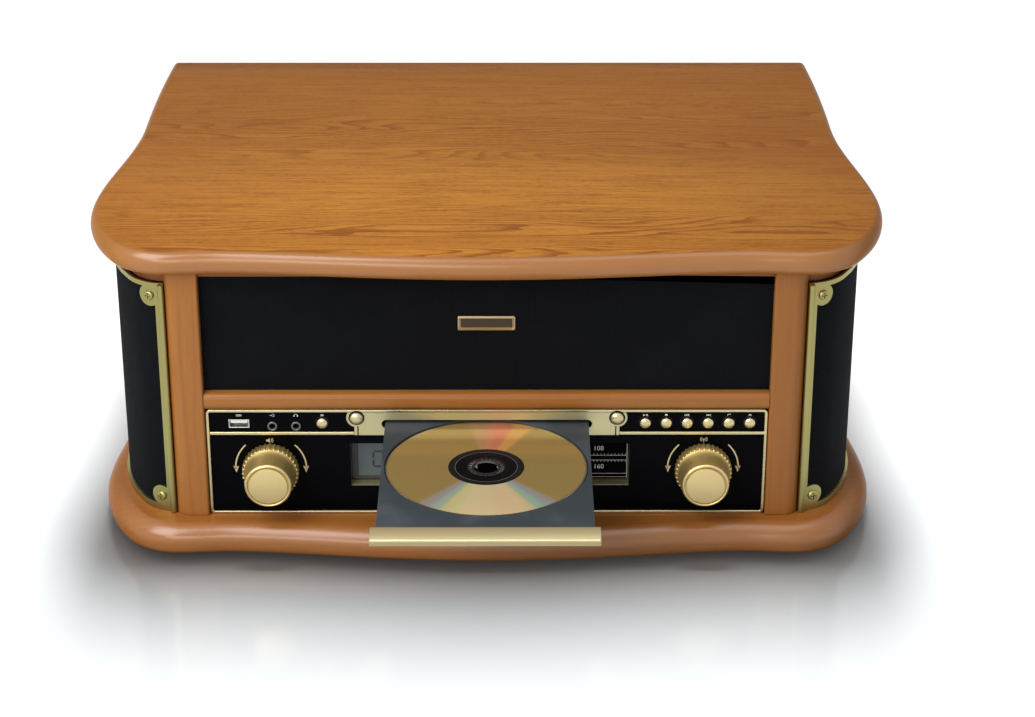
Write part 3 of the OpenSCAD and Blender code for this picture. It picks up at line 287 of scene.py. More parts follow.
def fill_grain(g: Graph, source: Node, sink: Node) -> None:
    """Sliced oak: the contour lines of a slow wavy height, with streaks, open pores and colour drift.

    Args:
        g: The group's graph.
        source: Its input node.
        sink: Its output node.
    """
    i = source.outputs
    vector, place = i["Vector"], g.moved(i["Vector"], i["Offset"])
    streaks, figure = g.scaled(place, i["Flow"]), g.scaled(place, i["Figure"])
    hills = g.noise(figure, i["Hills"], 1.0, 0.4)
    ripple = g.noise(figure, 85.0, 2.0, 0.6)
    across = g.dot(vector, i["Across"])
    level = g.math("MULTIPLY_ADD", g.math("SUBTRACT", hills, 0.5), i["Waver"], across)
    level = g.math("MULTIPLY_ADD", g.math("SUBTRACT", ripple, 0.5), 0.009, level)
    phase = g.math("FRACT", g.times(level, i["Rings"]))
    band = g.times(g.range(phase, 0.42, 0.92), g.range(phase, 0.94, 1.0, 1.0, 0.0))
    swell = g.math("COSINE", g.math("MULTIPLY_ADD", across, i["Swell"], i["Swell Start"]))
    swell = g.math("ADD", swell, g.math("MULTIPLY_ADD", g.noise(figure, 12.0, 1.0), 2.4, -1.2))
    band = g.times(band, g.range(swell, -0.9, 0.9, 0.12, 1.0))
    streak = g.noise(streaks, 330.0, 4.0, 0.7)
    fine = g.noise(figure, 1500.0, 2.0, 0.6)
    pore = g.times(g.range(fine, 0.5, 0.68), g.range(streak, 0.38, 0.62, 0.35, 1.0))
    colour = g.mix(g.times(band, i["Contrast"]), i["Light"], i["Dark"])
    shade = g.times(g.range(streak, 0.38, 0.72), i["Streaks"])
    colour = g.mix(shade, colour, i["Dark"])
    colour = g.mix(g.times(pore, i["Pores"]), colour, i["Pore Colour"])
    colour = g.mix(g.times(g.range(g.noise(figure, 7.0, 2.0), 0.35, 0.7), 0.35), colour, i["Dark"])
    g.feed(sink.inputs["Color"], colour)
    g.feed(sink.inputs["Roughness"], g.math("MULTIPLY_ADD", pore, 0.12, i["Gloss Base"]))
    g.feed(sink.inputs["Height"], g.times(g.math("MULTIPLY_ADD", band, 0.3, pore), -1.0))


def grain_group() -> NodeTree:
    """The wood grain group.

    Returns:
        The group, made once.
    """
    return shader_group("WoodGrain", [
        ("Vector", VECTOR, (0, 0, 0)), ("Offset", VECTOR, (0, 0, 0)), ("Flow", VECTOR, (0.055, 1, 1)),
        ("Figure", VECTOR, (0.15, 1, 1)), ("Across", VECTOR, (0, 1, 1)), ("Hills", FLOAT, 26.0),
        ("Waver", FLOAT, 0.05), ("Rings", FLOAT, 220.0), ("Swell", FLOAT, 0.0), ("Swell Start", FLOAT, 0.0),
        ("Contrast", FLOAT, 0.5), ("Streaks", FLOAT, 0.35), ("Pores", FLOAT, 0.6),
        ("Light", COLOR, (1, 1, 1, 1)), ("Dark", COLOR, (0, 0, 0, 1)), ("Pore Colour", COLOR, (0, 0, 0, 1)),
        ("Gloss Base", FLOAT, 0.3)], [("Color", COLOR), ("Roughness", FLOAT), ("Height", FLOAT)], fill_grain)


def fill_weave(g: Graph, source: Node, sink: Node) -> None:
    """Plain weave: two crossing sets of threads, over and under by turns, from two surface coordinates.

    Args:
        g: The group's graph.
        source: Its input node.
        sink: Its output node.
    """
    i = source.outputs
    pitch = i["Thread"]
    u = g.math("DIVIDE", i["U"], pitch)
    v = g.math("DIVIDE", i["V"], pitch)
    across = g.math("ABSOLUTE", g.math("SINE", g.times(u, math.pi)))
    down = g.math("ABSOLUTE", g.math("SINE", g.times(v, math.pi)))
    turn = g.math("MODULO", g.math("ADD", g.math("FLOOR", u), g.math("FLOOR", v)), 2.0)
    turn = g.math("ABSOLUTE", turn)
    over = g.math("ADD", g.times(turn, across), g.times(g.math("SUBTRACT", 1.0, turn), down))
    under = g.math("ADD", g.times(turn, down), g.times(g.math("SUBTRACT", 1.0, turn), across))
    height = g.times(g.math("POWER", over, 0.6), g.range(under, 0.0, 0.35))
    g.feed(sink.inputs["Height"], height)
    g.feed(sink.inputs["Color"], g.mix(height, i["Gap"], i["Yarn"]))


def weave_group() -> NodeTree:
    """The cloth weave group.

    Returns:
        The group, made once.
    """
    return shader_group("ClothWeave", [("U", FLOAT, 0.0), ("V", FLOAT, 0.0), ("Thread", FLOAT, 0.0009),
        ("Yarn", COLOR, (0.02, 0.02, 0.02, 1)), ("Gap", COLOR, (0, 0, 0, 1))],
        [("Color", COLOR), ("Height", FLOAT)], fill_weave)


def fill_grit(g: Graph, source: Node, sink: Node) -> None:
    """Fine surface grit, with slow patches of wear that change the gloss and the colour.

    Args:
        g: The group's graph.
        source: Its input node.
        sink: Its output node.
    """
    i = source.outputs
    vector = g.scaled(i["Vector"], i["Stretch"])
    grit = g.noise(vector, i["Grit Scale"], 2.0, 0.6)
    patch = g.noise(i["Vector"], i["Patch Scale"], 3.0, 0.55)
    worn = g.range(patch, 0.42, 0.68)
    rough = g.math("ADD", i["Roughness"], g.times(g.math("SUBTRACT", grit, 0.5), i["Grit"]))
    rough = g.math("ADD", rough, g.times(worn, i["Patch"]), clamp=True)
    g.feed(sink.inputs["Roughness"], rough)
    tone = g.math("ADD", g.times(grit, 0.4), g.times(worn, 0.6))
    g.feed(sink.inputs["Color"], g.mix(g.times(tone, i["Shade"]), i["Base"], i["Second"]))
    g.feed(sink.inputs["Height"], grit)


def grit_group() -> NodeTree:
    """The surface grit group.

    Returns:
        The group, made once.
    """
    return shader_group("SurfaceGrit", [
        ("Vector", VECTOR, (0, 0, 0)), ("Stretch", VECTOR, (1, 1, 1)), ("Grit Scale", FLOAT, 2500.0),
        ("Patch Scale", FLOAT, 18.0), ("Roughness", FLOAT, 0.3), ("Grit", FLOAT, 0.1), ("Patch", FLOAT, 0.04),
        ("Base", COLOR, (1, 1, 1, 1)), ("Second", COLOR, (0.5, 0.5, 0.5, 1)), ("Shade", FLOAT, 0.2)],
        [("Color", COLOR), ("Roughness", FLOAT), ("Height", FLOAT)], fill_grit)


# Finishes


Rgb = tuple[float, float, float]


@dataclass(frozen=True)
class Finish:
    """A surface finish that can be made into a material.

    Args:
        name: The material's name.
        slot: The record's material slot that it belongs to; not used.
    """

    name: str
    slot: str

    def start(self) -> tuple[Material, Graph, Node, NodeSocket]:
        """Makes an empty material with its main shader and its object coordinates.

        Returns:
            The material, its graph, its shader and its coordinates.
        """
        material = bpy.data.materials.new(self.name)
        material.use_nodes = True
        material.node_tree.nodes.clear()
        g = Graph(material.node_tree)
        shader = g.node("ShaderNodeBsdfPrincipled")
        g.fill(g.node("ShaderNodeOutputMaterial"), {"Surface": shader.outputs[0]})
        place = g.node("ShaderNodeTexCoord").outputs["Object"]
        return material, g, shader, place

    def bump(self, g: Graph, shader: Node, height: NodeSocket, depth: float) -> None:
        """Feeds a height, in millimetres of relief, to the shader's normal."""
        made = g.fill(g.node("ShaderNodeBump"), {"Strength": 1.0, "Distance": depth * MM, "Height": height})
        g.feed(shader.inputs["Normal"], made.outputs[0])

    def build(self) -> Material:
        """Makes the material."""
        raise NotImplementedError

    def material(self) -> Material:
        """The material, made the first time it is asked for."""
        return bpy.data.materials.get(self.name) or self.build()


@dataclass(frozen=True)
class Wood(Finish):
    """Lacquered wood with a wavy figure, streaks, pores and colour drift; a veneered board also gets painted shade
    that darkens it away from the front middle.

    Args:
        veneer: Heights in metres between which a board is plain lipping, with veneer below and above.
        lip: Colour of the lipping.
    """

    light: Rgb = (0.34, 0.13, 0.028)
    dark: Rgb = (0.22, 0.074, 0.016)
    pore: Rgb = (0.15, 0.047, 0.011)
    flow: Flow = Flow.ALONG_X
    offset: Point = (0.0, 0.0, 0.0)
    hills: float = 22.0
    waver: float = 0.03
    rings: float = 160.0
    swell: Flat = (0.0, 0.0)
    contrast: float = 0.18
    streaks: float = 0.25
    pores: float = 0.12
    gloss: float = 0.3
    coat: float = 0.35
    coat_rough: float = 0.26
    coat_ior: float = 1.6
    specular: float = 0.03
    relief: float = 0.01
    veneer: Flat = (0.0, 0.0)
    lip: Rgb = (0.0, 0.0, 0.0)

    def build(self) -> Material:
        """Makes the wood material.

        Returns:
            The material.
        """
        material, g, shader, place = self.start()
        grain = g.node("ShaderNodeGroup", node_tree=grain_group())
        streaks, figure, across = self.flow.value
        contrast, pores, lines, gloss = self.contrast, self.pores, self.streaks, self.gloss
        light: object = (*self.light, 1)
        if self.veneer[1] > 0:
            x, y, height = g.parts(place)
            face = g.math("MAXIMUM", g.math("LESS_THAN", height, self.veneer[0]),
                          g.math("GREATER_THAN", height, self.veneer[1]))
            contrast, pores = (g.math("MULTIPLY_ADD", face, v * 0.9, v * 0.1) for v in (contrast, pores))
            lines = g.math("MULTIPLY_ADD", face, lines * 0.7, lines * 0.3)
            gloss = g.math("MULTIPLY_ADD", face, 0.15, gloss)
            # Painted shade: the veneer's light colour darkens towards the dark colour with distance from a point 70
            # mm in front of mid depth, so the rear and the sides look shaded.
            reach = g.length(x, g.math("ADD", y, 0.07))
            light = g.mix(g.range(reach, 0.08, 0.3, 0.0, 0.48), light, (*self.dark, 1))
            light = g.mix(face, (*self.lip, 1), light)
            coat = g.math("MULTIPLY_ADD", face, -self.coat, self.coat)
        else:
            coat = self.coat
        turned = g.node("ShaderNodeLayerWeight").outputs["Facing"]
        g.feed(shader.inputs["Coat Weight"], g.times(g.range(turned, 0.2, 0.6, 1.0, 0.05), coat))
        values = {"Vector": place, "Offset": self.offset, "Flow": streaks, "Figure": figure, "Across": across,
                  "Hills": self.hills, "Waver": self.waver, "Rings": self.rings, "Swell": self.swell[0],
                  "Swell Start": self.swell[1], "Contrast": contrast, "Streaks": lines, "Pores": pores,
                  "Light": light, "Dark": (*self.dark, 1), "Pore Colour": (*self.pore, 1), "Gloss Base": gloss}
        made = g.fill(grain, values).outputs
        g.fill(shader, {"Base Color": made["Color"], "Roughness": made["Roughness"], "Coat IOR": self.coat_ior,
                        "Coat Roughness": self.coat_rough, "Specular IOR Level": self.specular})
        self.bump(g, shader, made["Height"], self.relief)
        return material


@dataclass(frozen=True)
class Gritted(Finish):
    """Metal, plastic or rubber with fine grit and patches of wear."""

    base: Rgb = (0.5, 0.5, 0.5)
    second: Rgb = (0.3, 0.3, 0.3)
    metallic: float = 0.0
    roughness: float = 0.35
    grit: float = 0.08
    patch: float = 0.04
    shade: float = 0.25
    grit_scale: float = 2500.0
    patch_scale: float = 18.0
    stretch: Point = (1.0, 1.0, 1.0)
    relief: float = 0.004
    coat: float = 0.0
    coat_rough: float = 0.08
    specular: float = 0.5

    def build(self) -> Material:
        """Makes the gritted material.

        Returns:
            The material.
        """
        material, g, shader, place = self.start()
        surface = g.node("ShaderNodeGroup", node_tree=grit_group())
        values = {"Vector": place, "Stretch": self.stretch, "Grit Scale": self.grit_scale,
                  "Patch Scale": self.patch_scale, "Roughness": self.roughness, "Grit": self.grit,
                  "Patch": self.patch, "Base": (*self.base, 1), "Second": (*self.second, 1), "Shade": self.shade}
        made = g.fill(surface, values).outputs
        g.fill(shader, {"Base Color": made["Color"], "Roughness": made["Roughness"], "Metallic": self.metallic,
                        "Coat Weight": self.coat, "Coat Roughness": self.coat_rough,
                        "Specular IOR Level": self.specular})
        self.bump(g, shader, made["Height"], self.relief)
        return material


@dataclass(frozen=True)
class Metal(Gritted):
    """Bare or plated metal with fine grit."""

    metallic: float = 1.0


@dataclass(frozen=True)
class Woven(Finish):
    """Speaker cloth, woven on the piece's own UV map in metres."""

    yarn: Rgb = (0.011, 0.012, 0.015)
    gap: Rgb = (0.001, 0.001, 0.001)
    thread: float = 0.0009

    def build(self) -> Material:
        """Makes the cloth material.

        Returns:
            The material.
        """
        material, g, shader, place = self.start()
        cloth = g.node("ShaderNodeGroup", node_tree=weave_group())
        u, v, _ = g.parts(g.node("ShaderNodeUVMap", uv_map=CLOTH_MAP).outputs[0])
        patch = g.noise(place, 30.0, 2.0)
        yarn = g.mix(g.times(patch, 0.5), (*self.yarn, 1), (*self.gap, 1))
        g.fill(cloth, {"U": u, "V": v, "Thread": self.thread, "Yarn": yarn, "Gap": (*self.gap, 1)})
        g.fill(shader, {"Base Color": cloth.outputs["Color"], "Roughness": 0.85, "Specular IOR Level": 0.05})
        self.bump(g, shader, cloth.outputs["Height"], 0.25)
        return material


@dataclass(frozen=True)
class GoldDisc(Finish):
    """The mirror side of a gold compact disc, with painted reflections: a bright painted highlight sector and
    coloured fans that spread from its centre.
    """

    centre: Point = (0.0, 0.0, 0.0)
    gold: Rgb = (0.46, 0.315, 0.105)
    groove: Rgb = (0.26, 0.16, 0.05)
    # Painted reflections: the first fan is a painted highlight, the others painted rainbow glints; each is a middle
    # angle, half width, colour and strength.
    glint_fans: tuple[tuple[float, float, Rgb, float], ...] = (
        (-88.0, 33.0, (1.0, 0.78, 0.44), 1.0), (-112.0, 6.0, (0.86, 0.82, 0.34), 0.6),
        (-76.0, 9.0, (0.98, 0.68, 0.38), 0.4), (-121.0, 4.0, (0.4, 0.64, 0.52), 0.7),
        (-127.0, 4.0, (0.42, 0.42, 0.52), 0.6), (-56.0, 4.0, (0.36, 0.66, 0.5), 0.8),
        (-50.0, 4.0, (0.4, 0.42, 0.58), 0.6), (80.0, 8.0, (0.88, 0.25, 0.17), 0.75),
        (67.0, 6.0, (0.92, 0.48, 0.13), 0.7), (93.0, 8.0, (0.75, 0.36, 0.22), 0.5))

    def build(self) -> Material:
        """Makes the disc material.

        Returns:
            The material.
        """
        material, g, shader, place = self.start()
        x, y, _ = g.parts(g.moved(place, tuple(-c for c in self.centre)))
        angle = g.times(g.math("ARCTAN2", y, x), 180.0 / math.pi)
        radius = g.length(x, y)
        colour: object = (*self.gold, 1)
        # Blends in each painted reflection by its angle round the disc's centre.
        for middle, half, tint, strength in self.glint_fans:
            off = g.math("ABSOLUTE", g.math("SUBTRACT", angle, middle))
            glint_share = g.range(off, half * 0.55, half * 1.45, strength, 0.0)
            colour = g.mix(glint_share, colour, (*tint, 1))
        ring = g.noise(g.joined(g.times(radius, 900.0), 0.0, 0.0), 1.0, 2.0)
        g.fill(shader, {"Base Color": g.mix(g.times(ring, 0.3), colour, (*self.groove, 1)),
                        "Roughness": g.math("MULTIPLY_ADD", ring, 0.06, 0.13), "Metallic": 0.36,
                        "Specular IOR Level": 0.3})
        return material


OAK_LID = Wood("LidOak", "oak_lid", light=(0.56, 0.23, 0.038), dark=(0.28, 0.09, 0.018),
               pore=(0.22, 0.075, 0.017), offset=(0.3, 0.11, 0.0), hills=24.0, waver=0.1, rings=230.0,
               swell=(33.07, -3.97), contrast=0.95, streaks=0.55, pores=0.7, specular=0.02, coat=1.0,
               veneer=(0.19006, 0.20494), lip=(0.34, 0.13, 0.025))
OAK_BASE = Wood("BaseOak", "oak_base", light=(0.345, 0.127, 0.026), dark=(0.23, 0.076, 0.017), coat=1.0)
OAK_FRONT = Wood("PillarOak", "oak_front", flow=Flow.ALONG_Z, waver=0.02)
OAK_RAIL = Wood("RailOak", "oak_front")
OAK_SIDE = Wood("SideOak", "oak_side", flow=Flow.ALONG_Y, contrast=0.5, streaks=0.4, pores=0.35)
RED_FRAME = Wood("FrameStain", "red_brown", light=(0.26, 0.085, 0.024), dark=(0.16, 0.045, 0.013),
                 pore=(0.09, 0.025, 0.008))
BOX_BOARD = Wood("RawBoard", "box_board", light=(0.6, 0.46, 0.29), dark=(0.48, 0.35, 0.2),
                 pore=(0.34, 0.24, 0.14), flow=Flow.ALONG_Y, gloss=0.7, coat=0.0)
REAR_BOARD = Gritted("RearBoard", "rear_board", (0.045, 0.03, 0.022), (0.02, 0.014, 0.01), roughness=0.75,
                     grit=0.2, grit_scale=900.0, relief=0.03, shade=0.6)
CLOTH = Woven("GrilleCloth", "black_cloth")
PALE_GOLD = Metal("PaleGold", "pale_gold", (0.36, 0.325, 0.125), (0.29, 0.26, 0.095), roughness=0.33, grit=0.1,
                  relief=0.002)
DEEP_GOLD = Metal("DeepGold", "deep_gold", (0.66, 0.49, 0.2), (0.52, 0.37, 0.14), roughness=0.36, grit=0.1,
                  relief=0.002)
BLACK_GLOSS = Gritted("BlackGloss", "black_gloss", (0.0015, 0.0015, 0.0022), (0.003, 0.003, 0.004),
                      roughness=0.1, grit=0.02, patch=0.03, relief=0.0003, specular=0.025)
BLACK_PLASTIC = Gritted("BlackPlastic", "black_plastic", (0.018, 0.018, 0.019), (0.03, 0.03, 0.03),
                        roughness=0.5, grit=0.15, grit_scale=1800.0, relief=0.01, specular=0.35)
TRAY_BLUE = Gritted("TrayPlastic", "tray_blue", (0.026, 0.034, 0.04), (0.085, 0.096, 0.108), roughness=0.55,
                    grit=0.25, grit_scale=1300.0, relief=0.03, shade=1.0, specular=0.3)
DECK_BLACK = Gritted("DeckPlastic", "deck_black", (0.022, 0.022, 0.024), (0.035, 0.035, 0.037), roughness=0.55,
                     grit=0.2, grit_scale=1500.0, relief=0.02, specular=0.35)
GREY_PLASTIC = Gritted("GreyPlastic", "grey_plastic", (0.2, 0.21, 0.22), (0.15, 0.16, 0.17), roughness=0.5)
WHITE_PLASTIC = Gritted("WhitePlastic", "white_plastic", (0.78, 0.76, 0.7), (0.68, 0.65, 0.58), roughness=0.4)
STEEL = Metal("BrushedSteel", "steel", (0.6, 0.6, 0.61), (0.45, 0.45, 0.46), roughness=0.3, grit=0.2,
              stretch=(0.06, 1.0, 1.0), grit_scale=1800.0)
MAGNET = Gritted("BasketPaint", "magnet_grey", (0.1, 0.105, 0.11), (0.06, 0.065, 0.07), roughness=0.45)
ALUMINIUM = Metal("SpunAluminium", "aluminium", (0.8, 0.8, 0.81), (0.66, 0.66, 0.68), roughness=0.27, grit=0.12)
RUBBER = Gritted("BlackRubber", "rubber_black", (0.016, 0.016, 0.016), (0.03, 0.03, 0.03), roughness=0.7,
                 grit=0.15, grit_scale=1200.0, relief=0.02, specular=0.3)
GOLD_PLASTIC = Gritted("GoldSurround", "gold_plastic", (0.3, 0.23, 0.1), (0.22, 0.16, 0.07), metallic=0.6,
                       roughness=0.4)
LCD_GLASS = Gritted("DisplayGlass", "lcd_glass", (0.075, 0.098, 0.1), (0.06, 0.08, 0.084), roughness=0.2,
                    grit=0.02, patch_scale=40.0, relief=0.0005)
DIAL_BLACK = Gritted("DialFace", "dial_black", (0.002, 0.002, 0.003), (0.005, 0.005, 0.006), roughness=0.4,
                     specular=0.01)
POINTER_RED = Gritted("PointerRed", "pointer_red", (0.62, 0.05, 0.02), (0.45, 0.03, 0.015), roughness=0.3)
BOARD_GREEN = Gritted("BoardGreen", "pcb_green", (0.02, 0.13, 0.05), (0.03, 0.18, 0.07), shade=0.6, patch_scale=90.0)
PAPER_CONE = Gritted("ConePaper", "cone_paper", (0.02, 0.02, 0.021), (0.04, 0.04, 0.04), roughness=0.85,
                     grit_scale=600.0, relief=0.05)
PRINT_PALE = Gritted("PrintPale", "black_gloss", (0.72, 0.7, 0.62), (0.62, 0.6, 0.52), roughness=0.5)
PRINT_GOLD = Gritted("PrintGold", "black_gloss", (0.55, 0.47, 0.24), (0.45, 0.38, 0.18), roughness=0.45)
# Black for painted shade in the gaps round the studs and the keys.
GAP_SHADE_BLACK = Gritted("PaintedGapShade", "black_plastic", (0.004, 0.004, 0.004), (0.007, 0.007, 0.007), roughness=0.6,
                    specular=0.2)
HUB_SILVER = Metal("HubSilver", "steel", (0.13, 0.13, 0.135), (0.07, 0.07, 0.075), grit_scale=900.0, shade=0.8)
BRIGHT_GOLD = Metal("BrightGold", "pale_gold", (0.58, 0.51, 0.3), (0.46, 0.4, 0.21), roughness=0.26, relief=0.001)
SLOT_GOLD = Metal("SlotGold", "pale_gold", (0.55, 0.5, 0.29), (0.45, 0.41, 0.23), roughness=0.45, grit=0.1,
                  relief=0.002)
BUTTON_GOLD = Metal("ButtonGold", "pale_gold", (0.64, 0.55, 0.32), (0.52, 0.44, 0.24), roughness=0.25, grit=0.06,
                    relief=0.001)
BEZEL_GOLD = Metal("BezelGold", "pale_gold", (0.4, 0.335, 0.18), (0.35, 0.29, 0.155), roughness=0.36, grit=0.12,
                   stretch=(0.05, 1.0, 1.0), relief=0.002)
KNOB_SIDE = Metal("KnobSide", "deep_gold", (0.62, 0.48, 0.2), (0.48, 0.365, 0.14), roughness=0.48, grit=0.1,
                  relief=0.002)
# A brighter copy of the bezel's gold: the bead is a real ridge, its extra brightness a painted highlight.
BEAD_HIGHLIGHT_GOLD = Metal("BeadHighlightGold", "pale_gold", (0.85, 0.76, 0.48), (0.74, 0.66, 0.4), roughness=0.3, relief=0.001)
KNOB_FACE = Metal("KnobFace", "deep_gold", (0.66, 0.52, 0.25), (0.58, 0.45, 0.2), roughness=0.4, grit=0.14,
                  relief=0.003)
BADGE_GOLD = Metal("PlateRim", "deep_gold", (0.55, 0.42, 0.24), (0.38, 0.28, 0.14), roughness=0.38, grit=0.15,
                   relief=0.003)
BADGE_DARK = Gritted("PlateField", "deep_gold", (0.075, 0.055, 0.035), (0.045, 0.032, 0.02), metallic=0.8,
                     roughness=0.45, grit=0.2, relief=0.01)
BRIGHT_STEEL = Metal("BrightSteel", "steel", (0.78, 0.77, 0.74), (0.6, 0.6, 0.58), roughness=0.24)
SOCKET_GREY = Gritted("SocketRing", "black_plastic", (0.16, 0.16, 0.16), (0.08, 0.08, 0.08), metallic=0.7)
DISPLAY_EDGE = Gritted("DisplayEdge", "lcd_glass", (0.02, 0.022, 0.024), (0.03, 0.032, 0.035))
DISC_RIM = Gritted("DiscRim", "disc_gold", (0.5, 0.42, 0.25), (0.42, 0.35, 0.2), metallic=0.7, roughness=0.14,
                   relief=0.0005)
DISC_GREY = Gritted("DiscGrey", "disc_gold", (0.02, 0.019, 0.017), (0.04, 0.037, 0.03), metallic=0.3,
                    roughness=0.2, grit=0.05, relief=0.0005, specular=0.12)
DISC_BLACK = Gritted("DiscBlack", "disc_gold", (0.006, 0.006, 0.007), (0.014, 0.014, 0.015), roughness=0.18,
                     grit=0.03, relief=0.0005, specular=0.1)
ARM_METAL = Metal("ArmMetal", "aluminium", (0.74, 0.74, 0.76), (0.6, 0.6, 0.62), roughness=0.24, relief=0.001)
LENS_BLUE = Gritted("LensBlue", "black_plastic", (0.02, 0.03, 0.09), (0.03, 0.05, 0.14), roughness=0.06,
                    grit=0.01, relief=0.0002, coat=1.0)
PRINT_DECK = Gritted("PrintDeck", "deck_black", (0.62, 0.61, 0.58), (0.5, 0.49, 0.46), roughness=0.5)
SEGMENT = Gritted("DisplaySegment", "lcd_glass", (0.008, 0.01, 0.012), (0.014, 0.016, 0.018), roughness=0.3)


# Meshes


class Axis(Enum):
    """An axis of the frame."""

    X = 0
    Y = 1
    Z = 2

    def lift(self, flat: Flat, along: float) -> Point:
        """A point from its two coordinates across this axis, in order, and the one along it.

        Args:
            flat: The two coordinates across.
            along: The one along.

        Returns:
            The point.
        """
        values = list(flat)
        values.insert(self.value, along)
        return tuple(values)


@dataclass
class Shape:
    """Points and faces gathered in the drawing's millimetres."""

    points: list[Point] = field(default_factory=list)
    faces: list[tuple[int, ...]] = field(default_factory=list)

    def add(self, points: Iterable[Point], faces: Iterable[Sequence[int]]) -> "Shape":
        """Adds points, and faces that number them from zero.

        Args:
            points: The points.
            faces: Their faces.

        Returns:
            This shape.
        """
        start = len(self.points)
        self.points.extend(points)
        self.faces.extend(tuple(start + i for i in face) for face in faces)
        return self

    def rings(self, rings: Sequence[Sequence[Point]], loop: bool = False) -> "Shape":
        """Joins rings of points into a skin.

        Args:
            rings: Rings with the same number of points.
            loop: Whether the last ring joins the first. If not, both ends are closed by a face.

        Returns:
            This shape.
        """
        count, size = len(rings), len(rings[0])
        faces: list[Sequence[int]] = []
        for j in range(count if loop else count - 1):
            low, high = j * size, (j + 1) % count * size
            faces += [(low + i, low + (i + 1) % size, high + (i + 1) % size, high + i) for i in range(size)]
        if not loop:
            faces += [range(size - 1, -1, -1), range((count - 1) * size, count * size)]
        return self.add([p for ring in rings for p in ring], faces)

    def prism(self, outline: Sequence[Flat], low: float, high: float, axis: Axis) -> "Shape":
        """A flat outline pulled along an axis."""
        return self.rings([[axis.lift(p, at) for p in outline] for at in (low, high)])

    def block(self, low: Point, high: Point) -> "Shape":
        """A rectangular block, to be bevelled as part of a larger piece."""
        outline = [(low[0], low[1]), (high[0], low[1]), (high[0], high[1]), (low[0], high[1])]
        return self.prism(outline, low[2], high[2], Axis.Z)

    def lathe(self, profile: Sequence[Flat], centre: Point, axis: Axis, steps: int = 64,
              loop: bool = True) -> "Shape":
        """A profile turned about an axis.

        Args:
            profile: Radius and place along the axis, from the centre, of each point.
            centre: A point on the axis.
            axis: The axis of turning.
            steps: Sides of the turned shape.
            loop: Whether the profile is a closed loop. If not, it starts and ends on the axis.

        Returns:
            This shape.
        """
        middle = [c for i, c in enumerate(centre) if i != axis.value]
        rings = []
        for k in range(steps):
            a = math.tau * k / steps
            rings.append([axis.lift((middle[0] + r * math.cos(a), middle[1] + r * math.sin(a)),
                                    centre[axis.value] + along) for r, along in profile])
        size = len(profile)
        faces = []
        for k in range(steps):
            low, high = k * size, (k + 1) % steps * size
            faces += [(low + i, low + (i + 1) % size, high + (i + 1) % size, high + i)
                      for i in range(size if loop else size - 1)]
        return self.add([p for ring in rings for p in ring], faces)

    def tube(self, path: Sequence[Point], radius: float, sides: int = 12) -> "Shape":
        """A round bar along a path, with slightly rounded ends.

        Args:
            path: Points along its middle.
            radius: Its radius.
            sides: Flats round it.

        Returns:
            This shape.
        """
        points = [Vector(p) for p in path]
        rings = []
        side = Vector((0.0, 0.0, 1.0))
        for k, point in enumerate(points):
            ahead = (points[min(k + 1, len(points) - 1)] - points[max(k - 1, 0)]).normalized()
            if abs(ahead.dot(side)) > 0.95:
                side = Vector((1.0, 0.0, 0.0)) if k == 0 else side
            across = ahead.cross(side).normalized()
            side = across.cross(ahead).normalized()
            spots = [(0.0, radius)]
            if k == 0:
                spots = [(-0.35 * radius, 0.6 * radius), (0.0, radius)]
            elif k == len(points) - 1:
                spots = [(0.0, radius), (0.35 * radius, 0.6 * radius)]
            for shift, size in spots:
                rings.append([tuple(point + ahead * shift + size * (
                    across * math.cos(math.tau * i / sides) + side * math.sin(math.tau * i / sides)))
                    for i in range(sides)])
        return self.rings(rings)

    def moved(self, matrix: Matrix) -> "Shape":
        """This shape with every point moved by a matrix in millimetres."""
        self.points = [tuple(matrix @ Vector(p)) for p in self.points]
        return self

    def join(self, other: "Shape") -> "Shape":
        """This shape with another added to it."""
        return self.add(other.points, other.faces)


def arc(centre: Flat, radius: float, start: float, end: float, steps: int) -> list[Flat]:
    """Points on an arc, with both ends, from angles in degrees."""
    angles = [math.radians(start + (end - start) * k / steps) for k in range(steps + 1)]
    return [(centre[0] + radius * math.cos(a), centre[1] + radius * math.sin(a)) for a in angles]


def rounded(low: Flat, high: Flat, radius: float, steps: int = 6) -> list[Flat]:
    """The outline of a rectangle with round corners.

    Args:
        low: The lowest corner.
        high: The highest corner.
        radius: The radius of the corners.
        steps: Steps in each corner.

    Returns:
        The outline.
    """
    x0, y0, x1, y1 = low[0] + radius, low[1] + radius, high[0] - radius, high[1] - radius
    return (arc((x1, y0), radius, -90, 0, steps) + arc((x1, y1), radius, 0, 90, steps)
            + arc((x0, y1), radius, 90, 180, steps) + arc((x0, y0), radius, 180, 270, steps))


